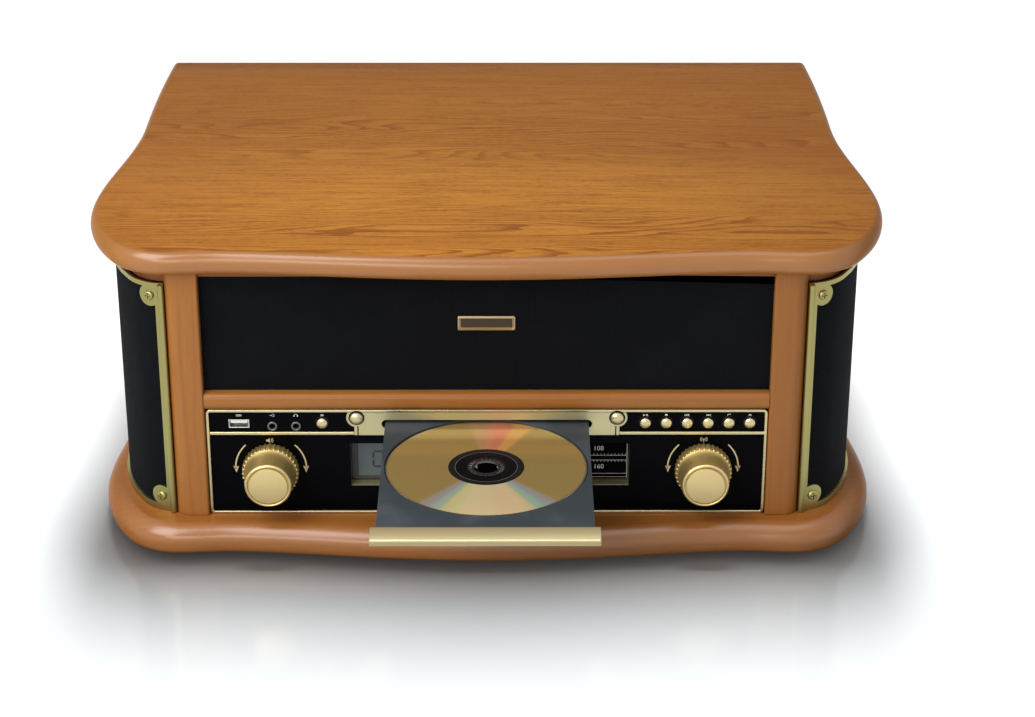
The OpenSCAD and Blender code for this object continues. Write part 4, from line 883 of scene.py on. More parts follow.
class Workshop:
    """Makes the scene's pieces and puts each on its body, with its finish."""

    def __init__(self, frame: dict) -> None:
        """Keeps the loaded frame."""
        self.frame = frame

    def mesh(self, name: str, shape: Shape, merge: bool = True) -> Mesh:
        """A mesh in metres from a shape, with its faces turned outwards.

        Args:
            name: The mesh's name.
            shape: The shape.
            merge: Whether doubles are merged.

        Returns:
            The mesh.
        """
        mesh = bpy.data.meshes.new(name)
        mesh.from_pydata([placed(*p) for p in shape.points], [], shape.faces)
        edit = bmesh.new()
        edit.from_mesh(mesh)
        if merge:
            bmesh.ops.remove_doubles(edit, verts=edit.verts, dist=1e-6)
            bmesh.ops.dissolve_degenerate(edit, edges=edit.edges, dist=1e-7)
        bmesh.ops.recalc_face_normals(edit, faces=edit.faces)
        edit.to_mesh(mesh)
        edit.free()
        return mesh

    def shade(self, mesh: Mesh, angle: float) -> None:
        """Shades a mesh smooth, but for edges sharper than an angle in degrees.

        Args:
            mesh: The mesh.
            angle: The sharpest smooth edge.
        """
        edit = bmesh.new()
        edit.from_mesh(mesh)
        limit = math.radians(angle)
        for face in edit.faces:
            face.smooth = True
        for edge in edit.edges:
            edge.smooth = len(edge.link_faces) == 2 and edge.calc_face_angle(0.0) < limit
        edit.to_mesh(mesh)
        edit.free()

    def settle(self, piece: Object, body: Body, finish: Finish, bevel: float, angle: float,
               replaces: Sequence[str] = ()) -> Object:
        """Finishes a piece: shading, rounded edges, material, body and the nodes that it stands for.

        Args:
            piece: The object, with its place in its mesh.
            body: The body that it rides on.
            finish: Its finish.
            bevel: Width of its rounded edges in millimetres, or zero.
            angle: Angle in degrees from which an edge is sharp.
            replaces: CAD nodes that it stands for.

        Returns:
            The piece.
        """
        self.shade(piece.data, angle)
        for face in piece.data.polygons:
            face.material_index = 0
        piece.data.materials.clear()
        piece.data.materials.append(finish.material())
        if bevel > 0:
            edge = piece.modifiers.new("Edges", "BEVEL")
            edge.width, edge.segments = bevel * MM, 2
            edge.limit_method, edge.angle_limit = "ANGLE", math.radians(angle)
            edge.harden_normals = edge.use_clamp_overlap = True
        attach(piece, body.value)
        if replaces:
            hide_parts(*replaces)
        LOG.info("%s on %s: %d faces", piece.name, body.value, len(piece.data.polygons))
        return piece

    def piece(self, name: str, shape: Shape, finish: Finish, body: Body = Body.CABINET, bevel: float = 0.0,
              angle: float = 35.0, replaces: Sequence[str] = (), merge: bool = True) -> Object:
        """Makes a piece from a shape and settles it."""
        made = set_out(name, self.mesh(name, shape, merge))
        return self.settle(made, body, finish, bevel, angle, replaces)

    def refined(self, node: str, finish: Finish, body: Body = Body.CABINET, bevel: float = 0.3,
                name: str = "", angle: float = 32.0) -> Object:
        """Makes a smooth piece with rounded edges from a CAD node's mesh, which it then stands for.

        Args:
            node: The CAD node.
            finish: The piece's finish.
            body: The body that it rides on.
            bevel: Width of its rounded edges in millimetres, or zero.
            name: Its name, if not the node's own words run together.
            angle: Angle in degrees from which an edge is sharp.

        Returns:
            The piece.
        """
        title = name or node.title().replace("_", "")
        mesh = self.frame["nodes"][node].data.copy()
        mesh.name = title
        edit = bmesh.new()
        edit.from_mesh(mesh)
        bmesh.ops.remove_doubles(edit, verts=edit.verts, dist=2e-6)
        bmesh.ops.dissolve_degenerate(edit, edges=edit.edges, dist=1e-7)
        bmesh.ops.dissolve_limit(edit, angle_limit=math.radians(0.6), verts=edit.verts, edges=edit.edges)
        edit.to_mesh(mesh)
        edit.free()
        return self.settle(set_out(title, mesh), body, finish, bevel, angle, (node,))

    def flat_map(self, mesh: Mesh, places: Sequence[Flat]) -> None:
        """Gives a mesh its UV map for cloth from places in millimetres.

        Args:
            mesh: The mesh.
            places: A place for each vertex.
        """
        layer = mesh.uv_layers.new(name=CLOTH_MAP)
        for loop in mesh.loops:
            u, v = places[loop.vertex_index]
            layer.data[loop.index].uv = (u * MM, v * MM)

    def letters(self, text: str, height: float) -> Shape:
        """Digits as flat shapes in the X and Z plane, centred on zero.

        Args:
            text: The digits.
            height: Their height.

        Returns:
            The digits' shape.
        """
        curve = bpy.data.curves.new("Digits", "FONT")
        curve.body = text
        curve.size = height * 1.38
        curve.align_x, curve.align_y = "CENTER", "CENTER"
        curve.resolution_u = 3
        curve.extrude = 0.04
        carrier = bpy.data.objects.new("Digits", curve)
        mesh = bpy.data.meshes.new_from_object(carrier)
        shape = Shape([(v.co.x, -v.co.z, v.co.y) for v in mesh.vertices], [tuple(p.vertices) for p in mesh.polygons])
        bpy.data.objects.remove(carrier)
        bpy.data.curves.remove(curve)
        bpy.data.meshes.remove(mesh)
        return shape


# Repeated parts


TURN = "turn"


class Pattern(Enum):
    """The ways in which small parts are repeated."""

    RING = "RepeatInRing"
    ROW = "RepeatInRow"
    SPOTS = "RepeatAtSpots"


@dataclass
class Repeater:
    """Makes pieces that repeat a small part, with trees of geometry nodes.

    Args:
        shop: Makes and settles the pieces.
    """

    shop: Workshop

    def tree(self, pattern: Pattern) -> NodeTree:
        """The node tree of a pattern, made the first time it is asked for.

        Args:
            pattern: The kind of pattern.

        Returns:
            Its node tree.
        """
        found = bpy.data.node_groups.get(pattern.value)
        if found:
            return found
        tree = bpy.data.node_groups.new(pattern.value, "GeometryNodeTree")
        kinds = {"Geometry": "Geometry", "Part": "Object", "Finish": "Material"}
        if pattern is not Pattern.SPOTS:
            kinds |= {"Count": "Int", "Start": "Vector"}
        if pattern is Pattern.RING:
            kinds |= {"Radius": "Float", "Tilt": "Vector"}
        elif pattern is Pattern.ROW:
            kinds |= {"Step": "Vector"}
        for label, kind in kinds.items():
            tree.interface.new_socket(label, in_out="INPUT", socket_type="NodeSocket" + kind)
        tree.interface.new_socket("Geometry", in_out="OUTPUT", socket_type="NodeSocketGeometry")
        g = Graph(tree)
        source = g.node("NodeGroupInput").outputs
        part = g.fill(g.node("GeometryNodeObjectInfo", transform_space="ORIGINAL"), {"Object": source["Part"]})
        turn = g.node("FunctionNodeEulerToRotation")
        if pattern is Pattern.RING:
            spots = g.fill(g.node("GeometryNodeMeshCircle"),
                           {"Vertices": source["Count"], "Radius": source["Radius"]}).outputs[0]
            x, y, _ = g.parts(g.node("GeometryNodeInputPosition").outputs[0])
            g.feed(turn.inputs[0], g.joined(0.0, 0.0, g.math("ARCTAN2", y, x)))
        elif pattern is Pattern.ROW:
            line = {"Count": source["Count"], "Start Location": source["Start"], "Offset": source["Step"]}
            spots = g.fill(g.node("GeometryNodeMeshLine", mode="OFFSET"), line).outputs[0]
        else:
            spots = source["Geometry"]
            named = g.fill(g.node("GeometryNodeInputNamedAttribute", data_type="FLOAT_VECTOR"), {"Name": TURN})
            g.feed(turn.inputs[0], named.outputs["Attribute"])
        copies = g.fill(g.node("GeometryNodeInstanceOnPoints"), {
            "Points": spots, "Instance": part.outputs["Geometry"], "Rotation": turn.outputs[0]})
        result = g.fill(g.node("GeometryNodeRealizeInstances"), {0: copies.outputs[0]}).outputs[0]
        if pattern is Pattern.RING:
            result = g.fill(g.node("GeometryNodeTransform"), {
                "Geometry": result, "Translation": source["Start"], "Rotation": source["Tilt"]}).outputs[0]
        paint = g.fill(g.node("GeometryNodeSetMaterial"), {"Geometry": result, "Material": source["Finish"]})
        g.feed(g.node("NodeGroupOutput").inputs[0], paint.outputs[0])
        return tree

    def grow(self, name: str, pattern: Pattern, part: Shape, values: dict[str, object], finish: Finish,
             body: Body = Body.CABINET, spots: Mesh | None = None, angle: float = 35.0) -> Object:
        """Makes one plain piece that repeats a part.

        Args:
            name: The piece's name.
            pattern: How the part is repeated.
            part: The small part round zero, in millimetres, unturned.
            values: The tree's named inputs, in metres.
            finish: The piece's finish.
            body: The body that it rides on.
            spots: Points with their turns, for parts at given spots.
            angle: Angle in degrees from which an edge is sharp.

        Returns:
            The finished piece.
        """
        small = self.shop.mesh(name + "_part", Shape([(x, y + Y_MIDDLE, z) for x, y, z in part.points], part.faces))
        pattern_part = set_out(name + "_part", small)
        host = set_out(name, spots or bpy.data.meshes.new(name))
        tree = self.tree(pattern)
        keys = {item.name: item.identifier for item in tree.interface.items_tree
                if item.item_type == "SOCKET" and item.in_out == "INPUT"}
        modifier = host.modifiers.new("Repeat", "NODES")
        modifier.node_group = tree
        for label, value in {"Part": pattern_part, "Finish": finish.material(), **values}.items():
            modifier[keys[label]] = value
        graph = bpy.context.evaluated_depsgraph_get()
        graph.update()
        mesh = bpy.data.meshes.new_from_object(host.evaluated_get(graph), depsgraph=graph)
        host.modifiers.clear()
        mesh.name = name
        host.data = mesh
        bpy.data.objects.remove(pattern_part)
        return self.shop.settle(host, body, finish, 0.0, angle)

    def spots(self, places: Sequence[tuple[Point, Point]]) -> Mesh:
        """Points in the drawing's millimetres, each with its turn in radians, as a mesh.

        Args:
            places: Each point with its turn.

        Returns:
            The mesh.
        """
        mesh = bpy.data.meshes.new("Spots")
        mesh.from_pydata([placed(*p) for p, _ in places], [], [])
        turns = mesh.attributes.new(TURN, "FLOAT_VECTOR", "POINT")
        for item, (_, turn) in zip(turns.data, places):
            item.vector = turn
        return mesh


def cross_screw(radius: float, height: float) -> Shape:
    """A domed screw head with a cross recess, standing on zero along Z.

    Args:
        radius: The head's radius.
        height: Its height.

    Returns:
        The head.
    """
    shape = Shape()
    shape.lathe([(0, 0), (radius, 0), (radius, height * 0.35), (radius * 0.98, height * 0.42), (0, height * 0.42)],
                (0, 0, 0), Axis.Z, 24, loop=False)
    ring = [(radius * 0.66, height * 0.4), (radius * 0.98, height * 0.4), (radius * 0.93, height * 0.66),
            (radius * 0.8, height * 0.86), (radius * 0.66, height * 0.95)]
    shape.lathe(ring, (0, 0, 0), Axis.Z, 24)
    half = radius * 0.13
    for k in range(4):
        sector = [(half, half)] + arc((0, 0), radius * 0.67, 12, 78, 5)
        a = math.radians(90 * k)
        turned = [(x * math.cos(a) - y * math.sin(a), x * math.sin(a) + y * math.cos(a)) for x, y in sector]
        shape.prism(turned, height * 0.4, height, Axis.Z)
    return shape


# Cabinet


@dataclass(frozen=True)
class Outline:
    """The plan of the lid and of the base, as the CAD source draws it, in millimetres."""

    push: float
    bulge: float
    wide: float = 245.0
    waist: float = 229.8
    taper: float = 4.2
    rear: float = 334.0
    shoulder: float = 118.0
    corner: float = 41.7
    wide_y: float = 72.0
    waist_y: float = 215.0
    turn: float = 33.0
    trough: float = -9.5
    half: float = 160.0
    corner_x: float = 190.990564
    drop: float = 41.555959

    def width(self, y: float) -> float:
        """Half the width at a depth.

        Args:
            y: The depth.

        Returns:
            Half the width.
        """
        start = self.wide_y - self.push
        if y > self.waist_y:
            return self.waist - self.taper * ((y - self.waist_y) / (self.rear - self.waist_y)) ** 2
        t = max(0.0, (self.waist_y - y) / (self.waist_y - start)) ** 1.15
        return self.waist + (self.wide - self.waist) * t * t * (3 - 2 * t)

    def side(self, y: float, inset: float) -> Flat:
        """A point of the side, moved in.

        Args:
            y: The depth.
            inset: The distance inwards.

        Returns:
            The point.
        """
        slope = self.width(y + 0.5) - self.width(y - 0.5)
        size = math.hypot(1, slope)
        return (self.width(y) - inset / size, y + (0.0 if y == self.rear else inset * slope / size))

    def front(self, x: float, inset: float) -> Flat:
        """A point of the front, moved in.

        Args:
            x: The place across.
            inset: The distance inwards.

        Returns:
            The point.
        """
        def line(at: float) -> float:
            """Depth of the front line."""
            if at < self.half:
                lift = (0.5 + 0.5 * math.cos(math.pi * at / self.half)) ** 0.75
                return self.trough - self.push - self.bulge * lift
            t = min(1.0, (at - self.half) / (self.corner_x - self.half))
            end = self.wide_y - self.push - self.drop - self.corner
            return self.trough - self.push + (end - self.trough + self.push) * t * t * (3 - 2 * t)

        slope = 0.0 if x < 1 or x > self.corner_x - 1 else (line(x + 1) - line(x - 1)) / 2
        size = math.hypot(1, slope)
        return (x - inset * slope / size, line(x) + inset / size)

    def corner_arc(self, start: float, inset: float, steps: int) -> list[Flat]:
        """The front corner from an angle in degrees to straight ahead."""
        y = self.wide_y - self.push - self.drop
        return arc((self.corner_x, y), self.corner - inset, -start, -90, steps)

    def half_line(self, inset: float) -> list[Flat]:
        """The right half, from the rear corner to the middle of the front.

        Args:
            inset: The distance inwards.

        Returns:
            The points.
        """
        wide_y = self.wide_y - self.push
        points = [self.side(self.rear - k * (self.rear - self.waist_y) / 8, inset) for k in range(8)]
        points += [self.side(self.waist_y - k * (self.waist_y - wide_y) / 26, inset) for k in range(26)]
        points += arc((self.wide - self.shoulder, wide_y), self.shoulder - inset, 0, -self.turn, 12)[:-1]
        points += self.corner_arc(self.turn, inset, 16)
        points += [self.front(self.corner_x * (1 - k / 44), inset) for k in range(1, 45)]
        return points

    def loop(self, inset: float) -> list[Flat]:
        """The whole outline, moved in."""
        half = self.half_line(inset)
        return half + [(-x, y) for x, y in reversed(half[:-1])]

    def wall(self, inset: float, end: float, start_x: float) -> list[Flat]:
        """The right wall line from a place beside the pillar back to a depth.

        Args:
            inset: The distance inwards.
            end: The depth at its end.
            start_x: The place beside the pillar.

        Returns:
            The points.
        """
        first = math.degrees(math.acos((start_x - self.corner_x) / (self.corner - inset)))
        points = list(reversed(arc((self.corner_x, self.wide_y - self.drop), self.corner - inset,
                                   -self.turn, -first, 18)))
        points += arc((self.wide - self.shoulder, self.wide_y), self.shoulder - inset, -self.turn, 0, 14)[1:]
        points += [self.side(self.wide_y + k * (end - self.wide_y) / 30, inset) for k in range(1, 31)]
        return points


LID_OUTLINE = Outline(push=0.0, bulge=10.0)
BASE_OUTLINE = Outline(push=9.5, bulge=12.0)
PILLAR_X0, PILLAR_X1 = 172.990564, 193.990564


@dataclass
class Cabinet:
    """Lid, base, feet, pillars, rail, frame, sides and rear of the case."""

    shop: Workshop
    repeat: Repeater
    lid_edge: tuple[Flat, ...] = (
        (6, 0), (4, 0.4), (2.2, 1.3), (1, 2.7), (0.3, 4.5), (0, 6.6), (0.1, 8.6), (0.5, 10.4), (1.1, 12),
        (1.9, 13.3), (2.9, 14.3), (4, 14.85), (4.9, 15))
    base_edge: tuple[Flat, ...] = (
        (4, 0), (2.2, 0.5), (1, 1.5), (0.3, 3), (0, 5), (0, 8), (0.3, 10.3), (1, 12.4), (2.1, 14.3), (3.6, 16),
        (5.5, 17.4), (7.6, 18.4), (9.4, 18.9), (10.3, 19))
    foot_x: float = 190.0
    foot_y: Flat = (36.0, 294.0)

    def board(self, outline: Outline, low: float, edge: Sequence[Flat]) -> Shape:
        """A board of that outline, with an edge of insets and heights along its front and sides."""
        return Shape().rings([[(x, min(y, outline.rear - 0.12 * inset), low + level)
                               for x, y in outline.loop(inset)] for inset, level in edge])

    def feet(self) -> Shape:
        """Four rubber feet with a round rim and a dished sole.

        Returns:
            The feet.
        """
        profile = [(0, 0.8), (9, 0.8), (10.5, 0), (11.8, 0), (12.6, 0.7), (13.4, 3.9), (13.8, 4.5), (14, 5.2),
                   (13.8, 6), (0, 6)]
        shape = Shape()
        for x in (-self.foot_x, self.foot_x):
            for y in self.foot_y:
                shape.lathe(profile, (x, y, 0), Axis.Z, 40, loop=False)
        return shape

    def build(self) -> None:
        """Makes and dresses the case."""
        shop = self.shop
        shop.piece("LidBoard", self.board(LID_OUTLINE, LID_Z, self.lid_edge), OAK_LID, Body.LID, angle=60.0,
                   replaces=("lid_board",))
        shop.piece("BaseBoard", self.board(BASE_OUTLINE, FOOT_TOP, self.base_edge), OAK_BASE,
                   angle=60.0, replaces=("base_plinth",))
        shop.piece("RubberFeet", self.feet(), RUBBER, replaces=("rubber_feet",))
        shop.refined("front_pillars", OAK_FRONT, bevel=0.7)
        shop.refined("middle_rail", OAK_RAIL, bevel=0.4)
        shop.refined("top_frame", RED_FRAME, bevel=0.5)
        shop.refined("side_panels", OAK_SIDE, bevel=0.6)
        shop.refined("rear_panel", REAR_BOARD, bevel=0.4)
        screws = [((x, 330.0, z), (-math.pi / 2, 0.4 * i, 0.0)) for i, (x, z) in enumerate(
            [(-192, 36), (-192, 98), (-192, 160), (192, 36), (192, 98), (192, 160), (0, 36), (0, 160)])]
        self.repeat.grow("RearScrews", Pattern.SPOTS, cross_screw(3.2, 1.8), {}, STEEL,
                         spots=self.repeat.spots(screws))


@dataclass
class Grilles:
    """Front cloth with its plate, and the side cloths with their trims and screws."""

    shop: Workshop
    repeat: Repeater
    cloth_low: float = 109.1
    cloth_high: float = 186.0
    plate_low: Flat = (-17.4, 150.0)
    plate_high: Flat = (17.4, 159.4)
    grille_end: float = 150.0
    frame_z: float = 181.0

    def front_cloth(self) -> None:
        """The front cloth, stretched over its board, with a UV map for the weave."""
        x, r = PILLAR_X0, 1.2
        section = [(8, self.cloth_low), (2 + r, self.cloth_low)] + arc(
            (2 + r, self.cloth_low + r), r, 270, 180, 5) + arc(
            (2 + r, self.cloth_high - r), r, 180, 90, 5) + [(8, self.cloth_high)]
        columns = [-x + 2 * x * k / 24 for k in range(25)]
        shape = Shape().rings([[(at, y, z) for y, z in section] for at in columns])
        made = self.shop.piece("FrontCloth", shape, CLOTH, replaces=("front_grille",), merge=False)
        self.shop.flat_map(made.data, [(p[0], p[2] + p[1]) for p in shape.points])

    def side_cloth(self) -> None:
        """Both side cloths, bent along the wall, with a UV map that follows the bend."""
        outer = LID_OUTLINE.wall(13.5, self.grille_end, PILLAR_X1)
        inner = LID_OUTLINE.wall(16.0, self.grille_end, PILLAR_X1)
        runs = [0.0]
        for before, after in zip(outer, outer[1:]):
            runs.append(runs[-1] + math.dist(before, after))
        shape, places = Shape(), []
        for side in (1, -1):
            levels = [FLOOR_Z, FLOOR_Z + 3, FLOOR_Z + 80, self.frame_z - 3, self.frame_z]
            rings = [[(side * x, y, z) for x, y in outer + inner[::-1]] for z in levels]
            shape.rings(rings)
            for z in levels:
                places += [(side * s, z) for s in runs + runs[::-1]]
        made = self.shop.piece("SideCloths", shape, CLOTH, replaces=("side_grilles",), merge=False)
        self.shop.flat_map(made.data, places)

    def trims(self) -> None:
        """Metal trims with a round rib beside each pillar."""
        self.shop.refined("grille_trims", PALE_GOLD, bevel=0.5)
        shape = Shape()
        for side in (1, -1):
            x, y = LID_OUTLINE.wall(11.2, self.grille_end, PILLAR_X1 + 1.7)[0]
            levels = [FLOOR_Z + k * (self.frame_z - FLOOR_Z) / 12 for k in range(1, 12)]
            path = [(side * x, y, z) for z in (FLOOR_Z + 0.8, *levels, self.frame_z - 0.8)]
            shape.tube(path, 1.9, 20)
        self.shop.piece("TrimRibs", shape, PALE_GOLD)

    def screws(self) -> None:
        """The four screws of the trims, on the slanted wall."""
        spots = []
        for side in (1, -1):
            reach = LID_OUTLINE.corner - 11.8
            angle = math.acos((PILLAR_X1 - LID_OUTLINE.corner_x + 9) / reach)
            y = LID_OUTLINE.wide_y - LID_OUTLINE.drop - reach * math.sin(angle)
            for z in (FLOOR_Z + 10.5, self.frame_z - 8.5):
                heading = -angle if side > 0 else math.pi + angle
                spots.append(((side * (PILLAR_X1 + 9), y, z), (0.0, math.pi / 2, heading)))
        made = self.repeat.grow("TrimScrews", Pattern.SPOTS, cross_screw(3.1, 1.6), {}, PALE_GOLD,
                                spots=self.repeat.spots(spots))
        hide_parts("trim_screws")

    def plate(self) -> None:
        """A blank plate with a raised rim on the front cloth."""
        low, high = self.plate_low, self.plate_high
        steps = ((0, 2.1), (0, 0.9), (0.25, 0.6), (0.8, 0.6), (1.0, 0.95), (1.2, 1.3))
        shape = Shape().rings([[(x, y, z) for x, z in rounded((low[0] + inset, low[1] + inset), (
            high[0] - inset, high[1] - inset), 1.0, 5)] for inset, y in steps])
        self.shop.piece("BlankPlate", shape, BADGE_GOLD, angle=50.0)
        inner = rounded((low[0] + 1.7, low[1] + 1.7), (high[0] - 1.7, high[1] - 1.7), 0.6, 5)
        self.shop.piece("BlankPlateField", Shape().prism(inner, 1.12, 1.5, Axis.Y), BADGE_DARK, bevel=0.1)

    def build(self) -> None:
        """Makes and dresses the grilles."""
        self.front_cloth()
        self.side_cloth()
        self.trims()
        self.screws()
        self.plate()


@dataclass
class Speakers:
    """Boxes, frames and cones behind the side cloths, the transformer and the rear sockets."""

    shop: Workshop
    phono_x: Flat = (-89.990564, -73.990564)
    phono_z: float = 53.0

    def build(self) -> None:
        """Dresses the speakers and the transformer."""
        self.shop.refined("speaker_boxes", BOX_BOARD, bevel=0.4)
        self.shop.refined("speaker_drivers", MAGNET, bevel=0.2, name="SpeakerFrames")
        self.shop.refined("speaker_cones", PAPER_CONE, bevel=0.0)
        self.shop.refined("power_transformer", STEEL, bevel=0.5, name="Transformer")
        self.shop.refined("rear_sockets", BLACK_PLASTIC)
        shape = Shape()
        for x in self.phono_x:
            for ring in ([(4.02, 331.2), (4.9, 331.2), (4.9, 331.9), (4.6, 332.3), (4.02, 332.3)],
                         [(1.76, 333.7), (3.3, 333.7), (3.1, 334.0), (1.76, 334.0)]):
                shape.lathe(ring, (x, 0, self.phono_z), Axis.Y, 32)
        self.shop.piece("PhonoRings", shape, PALE_GOLD)


# Control panel


def box_icon(x0: float, z0: float, x1: float, z1: float) -> list[Flat]:
    """A rectangle of an icon."""
    return [(x0, z0), (x1, z0), (x1, z1), (x0, z1)]


def band_icon(centre: Flat, radius: float, width: float, start: float, end: float, steps: int = 10) -> list[Flat]:
    """A bent band of an icon, from angles in degrees."""
    return (arc(centre, radius + width / 2, start, end, steps) + arc(centre, radius - width / 2, end, start, steps))


class Mark(Enum):
    """Plain marks that stand where the panel has words or signs: flat polygons about 2 mm high round zero."""

    PLAY = [[(-1.7, -1.0), (0.0, 0.0), (-1.7, 1.0)], box_icon(0.35, -1, 0.85, 1), box_icon(1.25, -1, 1.75, 1)]
    STOP = [box_icon(-0.95, -0.95, 0.95, 0.95)]
    BACK = [[(-0.2, 0), (1.3, -1), (1.3, 1)], [(-1.5, 0), (-0.1, -1), (-0.1, 1)], box_icon(-1.9, -1, -1.55, 1)]
    FORWARD = [[(0.2, 0), (-1.3, 1), (-1.3, -1)], [(1.5, 0), (0.1, 1), (0.1, -1)], box_icon(1.55, -1, 1.9, 1)]
    LOOP = [band_icon((0, 0), 1.05, 0.4, 60, 320, 14), [(0.2, 1.3), (0.75, 0.1), (1.35, 1.25)]]
    EJECT = [[(-1.2, -0.2), (1.2, -0.2), (0, 1.1)], box_icon(-1.2, -1.0, 1.2, -0.55)]
    RECORD = [band_icon((0, 0), 1.0, 0.3, 0, 359.9, 24), arc((0, 0), 0.55, 0, 340, 16)]
    PORT = [box_icon(-1.9, -0.8, 1.9, -0.5), box_icon(-1.9, 0.6, 1.9, 0.9), box_icon(-1.9, -0.5, -1.6, 0.6),
            box_icon(1.6, -0.5, 1.9, 0.6), box_icon(-1.1, 0.0, 1.1, 0.3)]
    INPUT = [box_icon(-1.9, -0.18, -0.4, 0.18), [(-0.5, -0.7), (0.4, 0.0), (-0.5, 0.7)],
             band_icon((0.5, 0), 1.2, 0.32, -100, 100, 14)]
    EARS = [band_icon((0, -0.1), 1.25, 0.32, 0, 180, 14), box_icon(-1.65, -1.2, -0.85, 0.0),
            box_icon(0.85, -1.2, 1.65, 0.0)]
    SOUND = [box_icon(-2.0, -0.55, -1.2, 0.55), [(-1.3, -0.55), (-0.1, -1.4), (-0.1, 1.4), (-1.3, 0.55)],
             band_icon((-0.3, 0), 1.1, 0.3, -48, 48), band_icon((-0.3, 0), 1.9, 0.3, -48, 48)]
    WAVES = [box_icon(-0.16, -1.4, 0.16, 0.4), arc((0, 0.6), 0.42, 0, 340, 12),
             band_icon((0, 0.6), 1.1, 0.28, -45, 45), band_icon((0, 0.6), 1.1, 0.28, 135, 225),
             band_icon((0, 0.6), 1.8, 0.28, -45, 45), band_icon((0, 0.6), 1.8, 0.28, 135, 225)]


